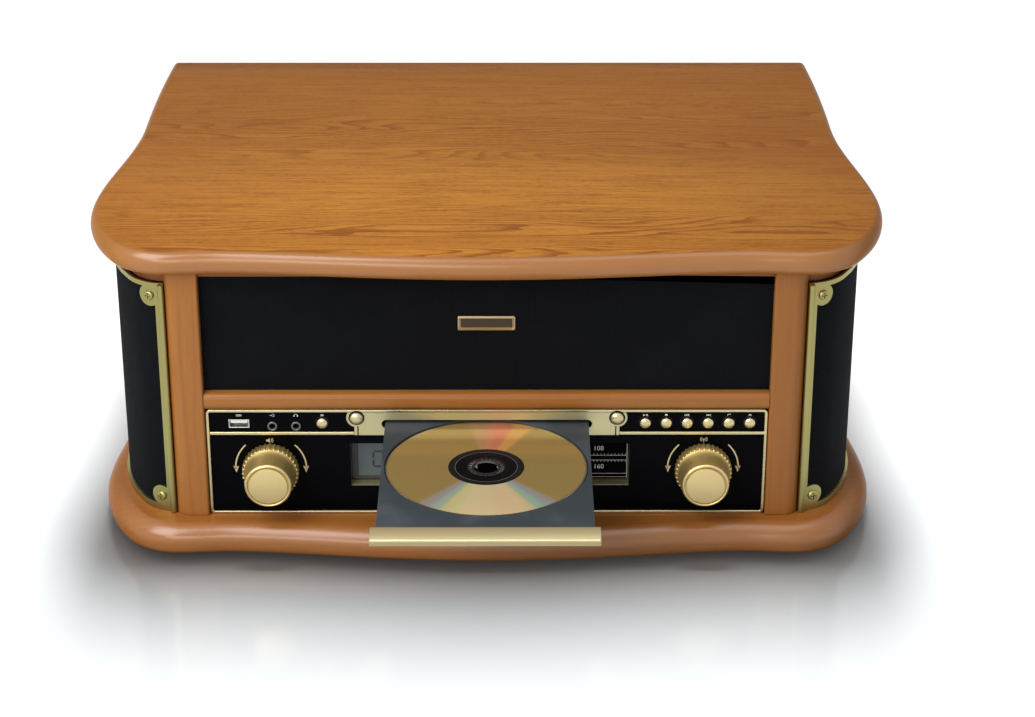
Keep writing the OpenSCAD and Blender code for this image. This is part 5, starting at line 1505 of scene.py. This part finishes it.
@dataclass
class ControlPanel:
    """Black panel with its metal frame, sockets, buttons, knobs and printed marks."""

    shop: Workshop
    repeat: Repeater
    half: float = 172.590564
    plate_half: float = 81.5
    button_z: float = 88.3
    button_r: float = 3.4
    knob_x: float = 133.795282
    knob_z: float = 56.7
    skirt_r: float = 17.6
    knob_r: float = 14.5
    knob_d: float = 25.0
    flutes: int = 36
    mark_z: float = 92.95
    mark_size: Flat = (0.85, 0.68)
    sign_z: float = 75.6
    sign_size: float = 1.15
    print_y: Flat = (-0.06, 0.0)
    stud_x: float = 80.0
    stud_z: float = 92.0
    usb_z: float = 87.4
    jack_z: float = 85.7

    @property
    def span(self) -> float:
        """Width of the panel beside the slot plate."""
        return self.half - self.plate_half

    @property
    def buttons(self) -> dict[str, float]:
        """The place of each button from the middle, by its node's first words.

        Returns:
            The places across.
        """
        names = ("play", "stop", "skip_back", "skip_forward", "program", "mode")
        places = {name: self.plate_half + (0.1746 + 0.141 * k) * self.span for k, name in enumerate(names)}
        return {"record": -self.plate_half - 0.216 * self.span, **places}

    @property
    def jacks(self) -> Flat:
        """The places of the two round sockets."""
        return (-self.plate_half - 0.554 * self.span, -self.plate_half - 0.394 * self.span)

    @property
    def usb_x(self) -> float:
        """The place of the flat socket."""
        return -self.plate_half - 0.778 * self.span

    def marks(self) -> None:
        """The printed marks of the panel, a hair proud of its gloss."""
        shape = Shape()
        places = [(self.usb_x, self.mark_z, Mark.PORT), (self.jacks[0], self.mark_z, Mark.INPUT),
                  (self.jacks[1], self.mark_z, Mark.EARS)]
        signs = {"record": Mark.RECORD, "play": Mark.PLAY, "stop": Mark.STOP, "skip_back": Mark.BACK,
                 "skip_forward": Mark.FORWARD, "program": Mark.LOOP, "mode": Mark.EJECT}
        places += [(self.buttons[name], self.mark_z, mark) for name, mark in signs.items()]
        for x, z, mark in places:
            for polygon in mark.value:
                shape.prism([(x + self.mark_size[0] * px, z + self.mark_size[1] * pz) for px, pz in polygon],
                            *self.print_y, Axis.Y)
        self.shop.piece("PanelMarks", shape, PRINT_PALE)
        gold = Shape()
        for side, mark in ((-1, Mark.SOUND), (1, Mark.WAVES)):
            middle, size = side * self.knob_x, self.sign_size
            for polygon in mark.value:
                gold.prism([(middle + size * px, self.sign_z + size * pz) for px, pz in polygon],
                           *self.print_y, Axis.Y)
            for turn in (-1, 1):
                band = band_icon((0, 0), 21.9, 0.85, -3, 46, 20)
                head = [(21.5 + 1.9, 1.3), (21.6, -3.4), (21.5 - 1.6, 1.3), (21.7, 0.4)]
                for polygon in (band, head):
                    points = [(middle + turn * px, self.knob_z + pz) for px, pz in polygon]
                    gold.prism(points if turn > 0 else points[::-1], *self.print_y, Axis.Y)
        self.shop.piece("TurnArrows", gold, PRINT_GOLD)

    def metal(self) -> None:
        """Frame, slot plate and domed studs, with a dark ring of painted shade round each stud."""
        self.shop.refined("panel_fascia", BLACK_GLOSS, bevel=0.15)
        self.shop.refined("fascia_frame", BRIGHT_GOLD, bevel=0.55, name="PanelFrame")
        self.shop.refined("disc_slot_plate", SLOT_GOLD, bevel=0.35, name="SlotPlate")
        studs, stud_shade = Shape(), Shape()
        dome = [(0, 3.1)] + [(4.1 * math.sin(math.radians(a)), 1.15 + 1.95 * math.cos(math.radians(a)))
                             for a in range(10, 81, 10)] + [(4.1, 1.15), (4.1, 0.2), (0, 0.2)]
        for x in (-self.stud_x, self.stud_x):
            centre = (x, 0, self.stud_z)
            studs.lathe([(r, -1.8 - along) for r, along in dome], centre, Axis.Y, 48, loop=False)
            # A dark ring of painted shade where the gap round each stud would lie in shadow.
            stud_shade.lathe([(4.0, -1.7), (4.95, -1.7), (4.95, -1.83), (4.0, -1.83)], centre, Axis.Y, 48)
        self.shop.piece("DomeStuds", studs, BRIGHT_GOLD, angle=50.0, replaces=("decorative_studs",))
        self.shop.piece("StudGaps", stud_shade, GAP_SHADE_BLACK)

    def sockets(self) -> None:
        """Flat socket with its contacts, and the round sockets with metal rings."""
        self.shop.refined("usb_socket", BRIGHT_STEEL, bevel=0.12, name="FlatSocket")
        x, z = self.usb_x, self.usb_z
        tongue = Shape().block((x - 5.0, 0.35, z + 0.15), (x + 5.0, 1.2, z + 2.0))
        self.shop.piece("FlatSocketTongue", tongue, WHITE_PLASTIC, bevel=0.15)
        contact = Shape().block((-0.5, -0.05, -0.06), (0.5, 1.0, 0.06))
        start = placed(x - 3.5, 0.5, z + 0.08)
        self.repeat.grow("SocketContacts", Pattern.ROW, contact,
                         {"Count": 4, "Start": start, "Step": Vector((0.00233, 0, 0))}, BRIGHT_GOLD)
        self.shop.refined("audio_jacks", BLACK_PLASTIC, bevel=0.15, name="RoundSockets")
        rings = Shape()
        for at in self.jacks:
            rings.lathe([(1.95, -0.72), (2.15, -0.95), (2.75, -0.95), (3.0, -0.7), (3.0, -0.5), (1.95, -0.5)],
                        (at, 0, self.jack_z), Axis.Y, 40)
        self.shop.piece("RoundSocketRings", rings, SOCKET_GREY)

    def keys(self) -> None:
        """The seven push buttons, each riding on its own body, each ringed by a dark band of painted shade for the
        gap round it.
        """
        key_shade = Shape()
        for name, x in self.buttons.items():
            key = Shape()
            curve = [(self.button_r * math.sin(math.radians(a)), 1.95 + 1.35 * math.cos(math.radians(a)))
                     for a in range(0, 91, 9)]
            profile = curve + [(self.button_r, -3.2), (self.button_r + 1.1, -3.3), (self.button_r + 1.1, -4.3),
                               (1.5, -4.3), (1.5, -9.3), (0, -9.3)]
            key.lathe([(r, -along) for r, along in profile], (x, 0, self.button_z), Axis.Y, 48, loop=False)
            self.shop.piece(f"Key.{name}", key, BUTTON_GOLD, Body(name + "_key"), angle=40.0,
                            replaces=(name + "_button",))
            # A dark ring of painted shade round each button's hole.
            key_shade.lathe([(3.72, -0.05), (4.25, -0.05), (4.1, -0.42), (3.8, -0.42)], (x, 0, self.button_z),
                          Axis.Y, 48)
        self.shop.piece("KeySleeves", key_shade, GAP_SHADE_BLACK)

    def knob(self, side: int, body: Body, node: str) -> None:
        """A knob: a turned core, flutes round its skirt, and a bright face inside a groove.

        Args:
            side: Minus one at the left, one at the right.
            body: The body it turns with.
            node: The node it stands for.
        """
        x, z = side * self.knob_x, self.knob_z
        core_r, rim_r, depth = self.skirt_r - 0.75, self.knob_r, self.knob_d
        profile = [(4.6, 0.9), (core_r - 0.4, 0.9), (core_r, 1.3), (core_r, 8.3), (core_r - 0.3, 8.7),
                   (core_r - 1.0, 9.6), (rim_r + 0.6, 12.5), (rim_r + 0.15, 16.0), (rim_r, depth - 1.7),
                   (rim_r - 0.15, depth - 1.0), (rim_r - 0.55, depth - 0.45), (rim_r - 1.1, depth - 0.22),
                   (rim_r - 1.7, depth - 0.5), (rim_r - 1.95, depth - 1.3), (rim_r - 2.35, depth - 1.3),
                   (rim_r - 2.5, depth - 0.5), (0, depth - 0.5), (0, 3.0), (4.6, 3.0)]
        core = Shape().lathe([(r, -along) for r, along in profile], (x, 0, z), Axis.Y, 96, loop=False)
        core.lathe([(0, -2.2), (3.0, -2.2), (3.0, 12.0), (0, 12.0)], (x, 0, z), Axis.Y, 32, loop=False)
        self.shop.piece(f"Knob.{body.value}", core, KNOB_SIDE, body, angle=42.0, replaces=(node,))
        face = [(0, depth), (rim_r - 3.2, depth), (rim_r - 2.75, depth - 0.12),
                (rim_r - 2.6, depth - 0.45), (0, depth - 0.45)]
        front = Shape().lathe([(r, -along) for r, along in face], (x, 0, z), Axis.Y, 72, loop=False)
        rim = [(rim_r - 1.65, depth - 0.55), (rim_r - 1.1, depth - 0.2), (rim_r - 0.5, depth - 0.42),
               (rim_r - 0.1, depth - 1.0), (rim_r + 0.02, depth - 1.5), (rim_r - 0.3, depth - 1.5),
               (rim_r - 0.7, depth - 0.8)]
        front.lathe([(r, -along) for r, along in rim], (x, 0, z), Axis.Y, 96)
        self.shop.piece(f"KnobFace.{body.value}", front, KNOB_FACE, body, angle=50.0)
        turns = [math.tau * k / 10 for k in range(10)]
        sections = ((-1.35, 0.45, -0.2), (-1.5, 0.72, 0), (-8, 0.72, 0), (-8.5, 0.6, -0.1), (-8.95, 0.25, -0.45))
        rib = Shape().rings([[(out + size * math.cos(a), y, size * math.sin(a)) for a in turns]
                             for y, size, out in sections]).moved(Matrix.Rotation(math.radians(90), 4, "X"))
        self.repeat.grow(f"KnobFlutes.{body.value}", Pattern.RING, rib,
                         {"Count": self.flutes, "Radius": (self.skirt_r - 0.72) * MM,
                          "Start": placed(x, 0.0, z), "Tilt": Vector((math.radians(-90), 0, 0))},
                         KNOB_SIDE, body, angle=60.0)

    def build(self) -> None:
        """Makes and dresses the control panel."""
        self.metal()
        self.sockets()
        self.keys()
        self.marks()
        self.knob(-1, Body.VOLUME, "volume_knob")
        self.knob(1, Body.TUNING, "tuning_knob")
        self.shop.refined("control_board", BOARD_GREEN, bevel=0.1)


@dataclass
class Display:
    """Window with a gilt surround, a digital display and a radio dial."""

    shop: Workshop
    repeat: Repeater
    low: float = 44.0
    dial_x0: float = -19.0
    dial_x1: float = 88.0
    glass_y: float = 8.6
    dial_y: float = 9.0
    digit_z: Flat = (53.0, 63.5)

    def segments(self, x: float, lit: str) -> Shape:
        """A seven-part digit.

        Args:
            x: Its left edge.
            lit: Its dark parts, named from a to g.

        Returns:
            The digit.
        """
        z0, z1 = self.digit_z
        mid, wide, thick = (z0 + z1) / 2, 6.0, 1.3
        y0, y1, gap, t = self.glass_y - 0.08, self.glass_y, 0.3, thick / 2
        shape = Shape()
        for key, z in (("a", z1), ("g", mid), ("d", z0)):
            if key in lit:
                left, right = x + gap, x + wide - gap
                shape.prism([(left, z), (left + t, z + t), (right - t, z + t), (right, z), (right - t, z - t),
                             (left + t, z - t)], y0, y1, Axis.Y)
        for key, left, start, end in (("f", x, mid, z1), ("e", x, z0, mid), ("b", x + wide, mid, z1),
                                      ("c", x + wide, z0, mid)):
            if key in lit:
                low, high = start + gap, end - gap
                shape.prism([(left, low), (left + t, low + t), (left + t, high - t), (left, high),
                             (left - t, high - t), (left - t, low + t)], y0, y1, Axis.Y)
        return shape

    def digital(self) -> None:
        """The pale display with dark digits, and a thin dark edge round its glass."""
        self.shop.refined("lcd_module", DISPLAY_EDGE, bevel=0.2, name="DisplayModule")
        glass = rounded((-80.3, 46.7), (-23.1, 71.4), 0.4, 3)
        self.shop.piece("DisplayGlass", Shape().prism(glass, self.glass_y - 0.02, self.glass_y + 0.3, Axis.Y),
                        LCD_GLASS)
        shape = Shape()
        for x in (-70.8, -61.4, -49.6, -40.2):
            shape.join(self.segments(x, "abcdef"))
        for z in (56.2, 60.4):
            shape.prism(arc((-52.4, z), 0.6, 0, 330, 11), self.glass_y - 0.08, self.glass_y, Axis.Y)
        self.shop.piece("DisplayDigits", shape, SEGMENT)

    def dial(self) -> None:
        """The black radio dial: pale lines, ticks, plain numbers and the red pointer."""
        self.shop.refined("dial_scale", DIAL_BLACK, bevel=0.15, name="DialPlate")
        y0, y1 = self.dial_y - 0.08, self.dial_y
        lines = Shape()
        for z in (60.4, 57.1, 47.7, 45.3):
            lines.prism(box_icon(self.dial_x0 + 3, z - 0.12, self.dial_x1 - 0.9, z + 0.12), y0, y1, Axis.Y)
        lines.prism(box_icon(self.dial_x1 - 1.1, 44.5, self.dial_x1 - 0.7, 68.6), y0, y1, Axis.Y)
        for z, last, texts in ((65.2, 69.3, ("88", "92", "96", "100", "104", "108")),
                               (52.5, 69.5, ("54", "60", "70", "90", "120", "160"))):
            for x, text in zip((-8, 8, 24, 40, 55, last), texts):
                lines.join(self.shop.letters(text, 3.2).moved(Matrix.Translation((x, y1, z))))
        self.shop.piece("DialPrint", lines, PRINT_PALE, merge=False)
        tick = Shape().block((-0.1, -0.08, -0.6), (0.1, 0.0, 0.6))
        for name, z in (("DialTicksHigh", 61.2), ("DialTicksLow", 56.4)):
            self.repeat.grow(name, Pattern.ROW, tick,
                             {"Count": 47, "Start": placed(self.dial_x0 + 4, y1, z),
                              "Step": Vector((0.0022, 0, 0))}, PRINT_PALE)
        self.shop.refined("dial_pointer", POINTER_RED, Body.POINTER, bevel=0.12)

    def build(self) -> None:
        """Makes and dresses the display."""
        self.shop.refined("display_surround", GOLD_PLASTIC, bevel=0.25)
        sill = Shape().block((-84.5, 0.5, self.low - 0.15), (88.0, 7.0, self.low + 0.2))
        self.shop.piece("WindowSill", sill, SLOT_GOLD, bevel=0.08)
        self.digital()
        self.dial()


# Disc drive


@dataclass
class DiscDrive:
    """Tray with its bezel, the disc, and the works behind the panel."""

    shop: Workshop
    repeat: Repeater
    centre: Point = (0.0, -57.0, 87.35)
    disc_r: float = 60.0
    travel: float = 134.8
    lens_y: float = 25.0
    bead_place: Flat = (-147.0, 88.35)
    bead_half: float = 64.6

    def disc(self) -> None:
        """A gold disc with a clear rim, a dark hub and a toothed metal ring."""
        x, y, top = self.centre
        low = top - 1.2
        plate = [(18.6, low), (self.disc_r - 0.9, low), (self.disc_r - 0.9, top), (18.6, top)]
        disc_finish = GoldDisc("DiscGold", "disc_gold", centre=tuple(placed(x, y, top)))
        self.shop.piece("DiscGold", Shape().lathe(plate, (x, y, 0), Axis.Z, 180),
                        disc_finish, Body.DISC, replaces=("compact_disc",))
        edge = [(self.disc_r - 0.9, low), (self.disc_r - 0.15, low), (self.disc_r, low + 0.15),
                (self.disc_r, top - 0.15), (self.disc_r - 0.15, top), (self.disc_r - 0.9, top)]
        self.shop.piece("DiscRim", Shape().lathe(edge, (x, y, 0), Axis.Z, 180), DISC_RIM, Body.DISC)
        bands = ((22.7, 18.75, top - 0.1, DISC_GREY, "DiscBand"), (18.75, 18.35, low + 0.02, MAGNET, "DiscLine"),
                 (18.35, 11.6, low + 0.02, DISC_BLACK, "DiscHub"))
        for outer, inner, foot, finish, name in bands:
            ring = [(inner, foot), (outer, foot), (outer, top + 0.02), (inner, top + 0.02)]
            self.shop.piece(name, Shape().lathe(ring, (x, y, 0), Axis.Z, 120), finish, Body.DISC)
        ring = [(7.5, low), (11.6, low), (11.6, top), (10.9, top + 0.05), (10.6, top - 0.1), (8.6, top - 0.1),
                (8.3, top + 0.05), (7.6, top)]
        self.shop.piece("DiscClampRing", Shape().lathe(ring, (x, y, 0), Axis.Z, 96), HUB_SILVER, Body.DISC)
        tooth = Shape().block((-0.95, -0.28, -0.12), (0.95, 0.28, 0.04))
        self.repeat.grow("DiscTeeth", Pattern.RING, tooth,
                         {"Count": 24, "Radius": 9.6 * MM, "Start": placed(x, y, top), "Tilt": Vector()},
                         BRIGHT_STEEL, Body.DISC)

    def build(self) -> None:
        """Makes and dresses the disc drive."""
        shop = self.shop
        shop.refined("disc_tray", TRAY_BLUE, Body.TRAY, bevel=0.25)
        shop.refined("tray_bezel", BEZEL_GOLD, Body.TRAY)
        # The bead along the bezel, in a brighter gold as painted highlight.
        bead = Shape().tube([(x, *self.bead_place) for x in (-self.bead_half, 0, self.bead_half)], 0.5, 12)
        shop.piece("BezelBead", bead, BEAD_HIGHLIGHT_GOLD, Body.TRAY)
        self.disc()
        shop.refined("drive_housing", GREY_PLASTIC)
        shop.refined("drive_motors", STEEL, bevel=0.2)
        shop.refined("disc_clamp", STEEL, bevel=0.2)
        shop.refined("loading_gear", WHITE_PLASTIC, Body.GEAR, bevel=0.1)
        shop.refined("optical_pickup", BLACK_PLASTIC, Body.PICKUP)
        y = self.centre[1] + self.travel + self.lens_y
        lens = Shape().lathe([(0, 84.0), (0.9, 83.9), (1.8, 83.6), (2.5, 83.1), (2.5, 82.9), (0, 82.9)],
                             (0, y, 0), Axis.Z, 32, loop=False)
        shop.piece("PickupLens", lens, LENS_BLUE, Body.PICKUP)


# Record deck


@dataclass
class RecordDeck:
    """Deck moulding, platter with its strobe dots and mat, drive, tone arm and switches."""

    shop: Workshop
    repeat: Repeater
    deck_z: float = 137.0
    spindle: Flat = (-25.0, 166.0)
    platter_r: float = 99.0
    pivot: Flat = (134.990564, 274.0)
    arm_z: float = 168.0
    arm_l: float = 207.0
    weight_y: float = 25.5
    switch: Flat = (165.990564, 60.0)

    def platter(self) -> None:
        """The turned platter, its rim dots, the spindle and the ribbed mat."""
        x, y, z, r = *self.spindle, self.deck_z, self.platter_r
        top = z + 11
        profile = [(0, z - 8), (3.6, z - 8), (3.6, z + 2), (12, z + 2), (12, top - 3), (60, top - 3),
                   (60, z + 2), (63, z + 2), (63, top - 3), (r - 3, top - 3), (r - 3, z + 1), (r - 0.4, z + 1),
                   (r, z + 1.4), (r, z + 2.2), (r - 0.7, z + 2.6), (r - 0.7, top - 1.9), (r, top - 1.5),
                   (r, top - 0.8), (r - 0.8, top), (11, top), (3.6, top), (3.6, top + 11.6), (3.1, top + 12.6),
                   (1.5, top + 14.6), (0.8, top + 15), (0, top + 15)]
        self.shop.piece("Platter", Shape().lathe(profile, (x, y, 0), Axis.Z, 160, loop=False), ALUMINIUM,
                        Body.TURNTABLE, replaces=("platter",))
        dot = Shape().block((-0.25, -0.9, -0.75), (0.3, 0.9, 0.75))
        for name, level, count in (("StrobeDotsLow", z + 3.9, 150), ("StrobeDotsMid", z + 5.9, 132),
                                   ("StrobeDotsHigh", z + 7.9, 120)):
            self.repeat.grow(name, Pattern.RING, dot,
                             {"Count": count, "Radius": (r - 0.75) * MM, "Start": placed(x, y, level),
                              "Tilt": Vector()}, ALUMINIUM, Body.TURNTABLE)
        mat = [(4.0, top), (r - 3, top), (r - 3, top + 1.6), (r - 3.8, top + 2.5), (r - 7, top + 2.5)]
        edge = r - 7
        while edge > 50:
            mat += [(edge - 0.5, top + 1.9), (edge - 2.2, top + 1.9), (edge - 2.7, top + 2.5),
                    (edge - 4.4, top + 2.5)]
            edge -= 4.4
        mat += [(46, top + 2.5), (45.3, top + 1.7), (20, top + 1.7), (19.3, top + 2.5), (4.0, top + 2.5)]
        self.shop.piece("PlatterMat", Shape().lathe(mat, (x, y, 0), Axis.Z, 120), RUBBER, Body.TURNTABLE,
                        replaces=("platter_mat",))

    def arm(self) -> None:
        """The tone arm with its knurled counterweight, lift and stylus guard."""
        shop, (x, y) = self.shop, self.pivot
        shop.refined("arm_base", BLACK_PLASTIC, bevel=0.6)
        shop.refined("arm_yoke", STEEL, Body.YOKE, bevel=0.4)
        shop.refined("tonearm", ARM_METAL, Body.ARM, bevel=0.4, name="ToneArm")
        knurl = Shape().block((-0.3, -0.32, -5.2), (0.35, 0.32, 5.2))
        self.repeat.grow("CounterweightGrip", Pattern.RING, knurl,
                         {"Count": 60, "Radius": 10.4 * MM, "Start": placed(x, y + self.weight_y, self.arm_z),
                          "Tilt": Vector((math.radians(-90), 0, 0))}, BLACK_PLASTIC, Body.ARM)
        collar = [(4.0, -0.9), (5.2, -0.9), (5.5, -0.4), (5.5, 5.4), (5.2, 5.9), (4.0, 5.9)]
        shape = Shape().lathe([(r, y - self.arm_l + 31 + along) for r, along in collar], (x, 0, self.arm_z),
                              Axis.Y, 40)
        shop.piece("ArmCollar", shape, STEEL, Body.ARM)
        turn = Matrix.Translation((x, y - self.arm_l + 28, 0)) @ Matrix.Rotation(math.radians(-20), 4, "Z")
        shell = Shape().tube([(8, -30, self.arm_z - 3), (11, -30.5, self.arm_z - 2.6),
                              (15, -31.5, self.arm_z - 1.2), (18, -32.5, self.arm_z + 0.8)], 0.8, 10)
        shop.piece("FingerLift", shell.moved(turn), STEEL, Body.ARM)
        guard = Shape().prism([(-7.2, -35), (7.2, -35), (7.2, -16), (-7.2, -16)], self.arm_z - 9.5,
                              self.arm_z - 8.6, Axis.Z)
        shop.piece("CartridgeBand", guard.moved(turn), POINTER_RED, Body.ARM, bevel=0.2)

    def build(self) -> None:
        """Makes and dresses the record deck."""
        shop = self.shop
        shop.refined("deck_plate", DECK_BLACK, bevel=0.5)
        self.platter()
        shop.refined("drive_belt", RUBBER, bevel=0.15)
        shop.refined("deck_motor", STEEL, bevel=0.4)
        shop.refined("motor_pulley", DEEP_GOLD, Body.PULLEY, bevel=0.1)
        self.arm()
        shop.refined("cue_bar", BLACK_PLASTIC, Body.CUE_LIFT, bevel=0.4)
        shop.refined("cue_lever", STEEL, Body.CUE_HANDLE)
        shop.refined("speed_switch", BLACK_PLASTIC, Body.SPEED, bevel=0.5)
        shape = Shape()
        for k, text in enumerate(("33", "45", "78")):
            a = math.radians(-90 + 30 * (k - 1))
            spots = [(self.switch[0] + reach * math.cos(a), self.switch[1] + reach * math.sin(a))
                     for reach in (25, 12.5, 16.0)]
            flat = shop.letters(text, 4.0)
            x, y = spots.pop(0)
            flat.points = [(px + x, pz + y, self.deck_z + 0.05 + py) for px, py, pz in flat.points]
            shape.join(flat)
            for spot in spots:
                shape.prism(arc(spot, 0.55, 0, 330, 11), self.deck_z, self.deck_z + 0.08, Axis.Z)
        shop.piece("SpeedMarks", shape, PRINT_DECK, merge=False)
        screws = [((x, y, self.deck_z), (0.0, 0.0, 0.7 * k)) for k, (x, y) in enumerate(
            [(-150, 40), (150, 30), (-150, 296), (86, 300), (-172, 150), (172, 190)])]
        self.repeat.grow("DeckScrews", Pattern.SPOTS, cross_screw(3.0, 1.5), {}, STEEL,
                         spots=self.repeat.spots(screws))


@dataclass
class LidHardware:
    """Hinges, the slotted stay and their screws."""

    shop: Workshop
    repeat: Repeater
    hinge_x: float = 150.0
    screw_z: Flat = (180.3, 199.0)
    rear_y: float = 335.2

    def build(self) -> None:
        """Makes and dresses the lid's fittings."""
        shop = self.shop
        shop.refined("cabinet_fittings", STEEL, bevel=0.2)
        shop.refined("lid_fittings", STEEL, Body.LID, bevel=0.2)
        shop.refined("stay_arm", STEEL, Body.STAY, bevel=0.25)
        for name, z, body in zip(("HingeScrewsLow", "HingeScrewsHigh"), self.screw_z, (Body.CABINET, Body.LID)):
            spots = [((side * self.hinge_x + at, self.rear_y + 0.3, z), (-math.pi / 2, 0.5 * at, 0.0))
                     for side in (-1, 1) for at in (-19.0, 19.0)]
            self.repeat.grow(name, Pattern.SPOTS, cross_screw(2.4, 1.1), {}, STEEL, body,
                             spots=self.repeat.spots(spots))


# Studio


@dataclass
class Studio:
    """Camera, lamps, pale floor and white surroundings."""

    place: Point = (0.012295, -1.521226, 0.814373)
    lens: float = 90.437
    floor_half: float = 6.0
    sky: float = 0.28
    white_from: Flat = (0.27, 0.65)
    no_shadow: tuple[str, ...] = ("DiscTray", "TrayBezel", "BezelBead", "DiscGold", "DiscRim", "DiscBand",
                                  "DiscLine", "DiscHub", "DiscClampRing", "DiscTeeth")

    def camera(self) -> None:
        """The camera at the photograph's viewing angle."""
        data = bpy.data.cameras.new("Camera")
        data.lens, data.sensor_width, data.sensor_fit = self.lens, 36.0, "HORIZONTAL"
        data.clip_start, data.clip_end = 0.05, 50.0
        camera = set_out("Camera", data)
        right, up = (0.99999143, -0.00396021, 0.00121007), (0.000620225, 0.43216373, 0.90179495)
        back = (-0.00409425, -0.90178646, 0.43216248)
        turn = Matrix((right, up, back)).transposed()
        camera.matrix_world = Matrix.Translation(self.place) @ turn.to_4x4()
        bpy.context.scene.camera = camera

    def lamp(self, name: str, place: Point, aim: Point, width: float, height: float, power: float) -> Object:
        """A soft rectangular lamp aimed at a point.

        Args:
            name: Its name.
            place: Where it hangs.
            aim: Where it shines.
            width: Its width.
            height: Its height.
            power: Its watts.

        Returns:
            The lamp.
        """
        data = bpy.data.lights.new(name, "AREA")
        data.shape, data.size, data.size_y, data.energy = "RECTANGLE", width, height, power
        lamp = set_out(name, data)
        toward = Vector(aim) - Vector(place)
        lamp.matrix_world = Matrix.Translation(place) @ toward.to_track_quat("-Z", "Y").to_matrix().to_4x4()
        return lamp

    def seen(self, g: Graph) -> NodeSocket:
        """One for camera, glossy and transmission rays.

        Args:
            g: The graph.

        Returns:
            The value.
        """
        path = g.node("ShaderNodeLightPath").outputs
        seen = g.math("MAXIMUM", path["Is Camera Ray"], path["Is Glossy Ray"])
        return g.math("MAXIMUM", seen, path["Is Transmission Ray"])

    def surroundings(self) -> None:
        """White to the eye, and a soft even light on the object."""
        world = bpy.data.worlds.new("Surroundings")
        world.use_nodes = True
        world.node_tree.nodes.clear()
        g = Graph(world.node_tree)
        white = g.fill(g.node("ShaderNodeBackground"), {"Color": (1.0, 1.0, 1.0, 1)})
        soft = g.fill(g.node("ShaderNodeBackground"), {"Color": (0.96, 0.98, 1.0, 1), "Strength": self.sky})
        mixed = g.fill(g.node("ShaderNodeMixShader"), {0: self.seen(g), 1: soft.outputs[0], 2: white.outputs[0]})
        g.feed(g.node("ShaderNodeOutputWorld").inputs[0], mixed.outputs[0])
        bpy.context.scene.world = world

    def floor(self) -> Object:
        """A pale, glossy floor that keeps the shadow and is seen as white further out.

        Returns:
            The floor.
        """
        half = self.floor_half
        mesh = bpy.data.meshes.new("Floor")
        mesh.from_pydata([(-half, -half, 0), (half, -half, 0), (half, half, 0), (-half, half, 0)], [], [(0, 1, 2, 3)])
        floor = set_out("Floor", mesh)
        material = bpy.data.materials.new("PaleFloor")
        material.use_nodes = True
        material.node_tree.nodes.clear()
        g = Graph(material.node_tree)
        shader = g.fill(g.node("ShaderNodeBsdfPrincipled"), {
            "Base Color": (0.6, 0.62, 0.63, 1), "Roughness": 0.13, "Specular IOR Level": 0.3})
        x, y, _ = g.parts(g.node("ShaderNodeTexCoord").outputs["Object"])
        white = g.range(g.length(x, y), *self.white_from, 0.02, 1.0)
        glow = g.node("ShaderNodeEmission")
        mixed = g.fill(g.node("ShaderNodeMixShader"), {
            0: g.times(self.seen(g), white), 1: shader.outputs[0], 2: glow.outputs[0]})
        g.feed(g.node("ShaderNodeOutputMaterial").inputs[0], mixed.outputs[0])
        mesh.materials.append(material)
        return floor

    def linked(self, name: str, pieces: Sequence[Object], state: str) -> Collection:
        """A collection of pieces that a lamp reaches alone, or all but which it reaches.

        Args:
            name: The collection's name.
            pieces: The pieces.
            state: INCLUDE for these pieces alone, EXCLUDE for all but these.

        Returns:
            The collection.
        """
        group = bpy.data.collections.new(name)
        for index, piece in enumerate(pieces):
            group.objects.link(piece)
            group.collection_objects[index].light_linking.link_state = state
        return group

    def build(self) -> None:
        """Sets up the studio."""
        bpy.context.scene.view_settings.view_transform = "Standard"
        self.camera()
        self.surroundings()
        floor = self.floor()
        lamps = (self.lamp("KeyLamp", (-0.85, -0.95, 1.22), (0, -0.1, 0.1), 1.1, 1.4, 26.0),
                 self.lamp("FrontLamp", (-0.6, -2.2, 0.7), (0, -0.1, 0.1), 1.2, 0.4, 8.0),
                 self.lamp("TopLamp", (0.3, -0.3, 1.15), (0.04, -0.05, 0.2), 0.9, 0.6, 2.0))
        object_only = self.linked("AllButFloor", (floor,), "EXCLUDE")
        for lamp in lamps:
            lamp.light_linking.receiver_collection = object_only
        under = self.lamp("FloorLamp", (0.0, 0.65, 2.0), (0, 0.0, 0.0), 0.5, 1.4, 98.0)
        under.light_linking.receiver_collection = self.linked("FloorAlone", (floor,), "INCLUDE")
        slender = [bpy.data.objects[name] for name in self.no_shadow]
        under.light_linking.blocker_collection = self.linked("NoShadow", slender, "EXCLUDE")


def main() -> None:
    """Builds every sub-assembly round the frame, then the studio."""
    logging.basicConfig(level=logging.INFO, format="%(name)s: %(message)s")
    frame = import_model()
    shop = Workshop(frame)
    repeat = Repeater(shop)
    Cabinet(shop, repeat).build()
    Grilles(shop, repeat).build()
    Speakers(shop).build()
    ControlPanel(shop, repeat).build()
    Display(shop, repeat).build()
    DiscDrive(shop, repeat).build()
    RecordDeck(shop, repeat).build()
    LidHardware(shop, repeat).build()
    Studio().build()


if __name__ == "__main__":
    main()
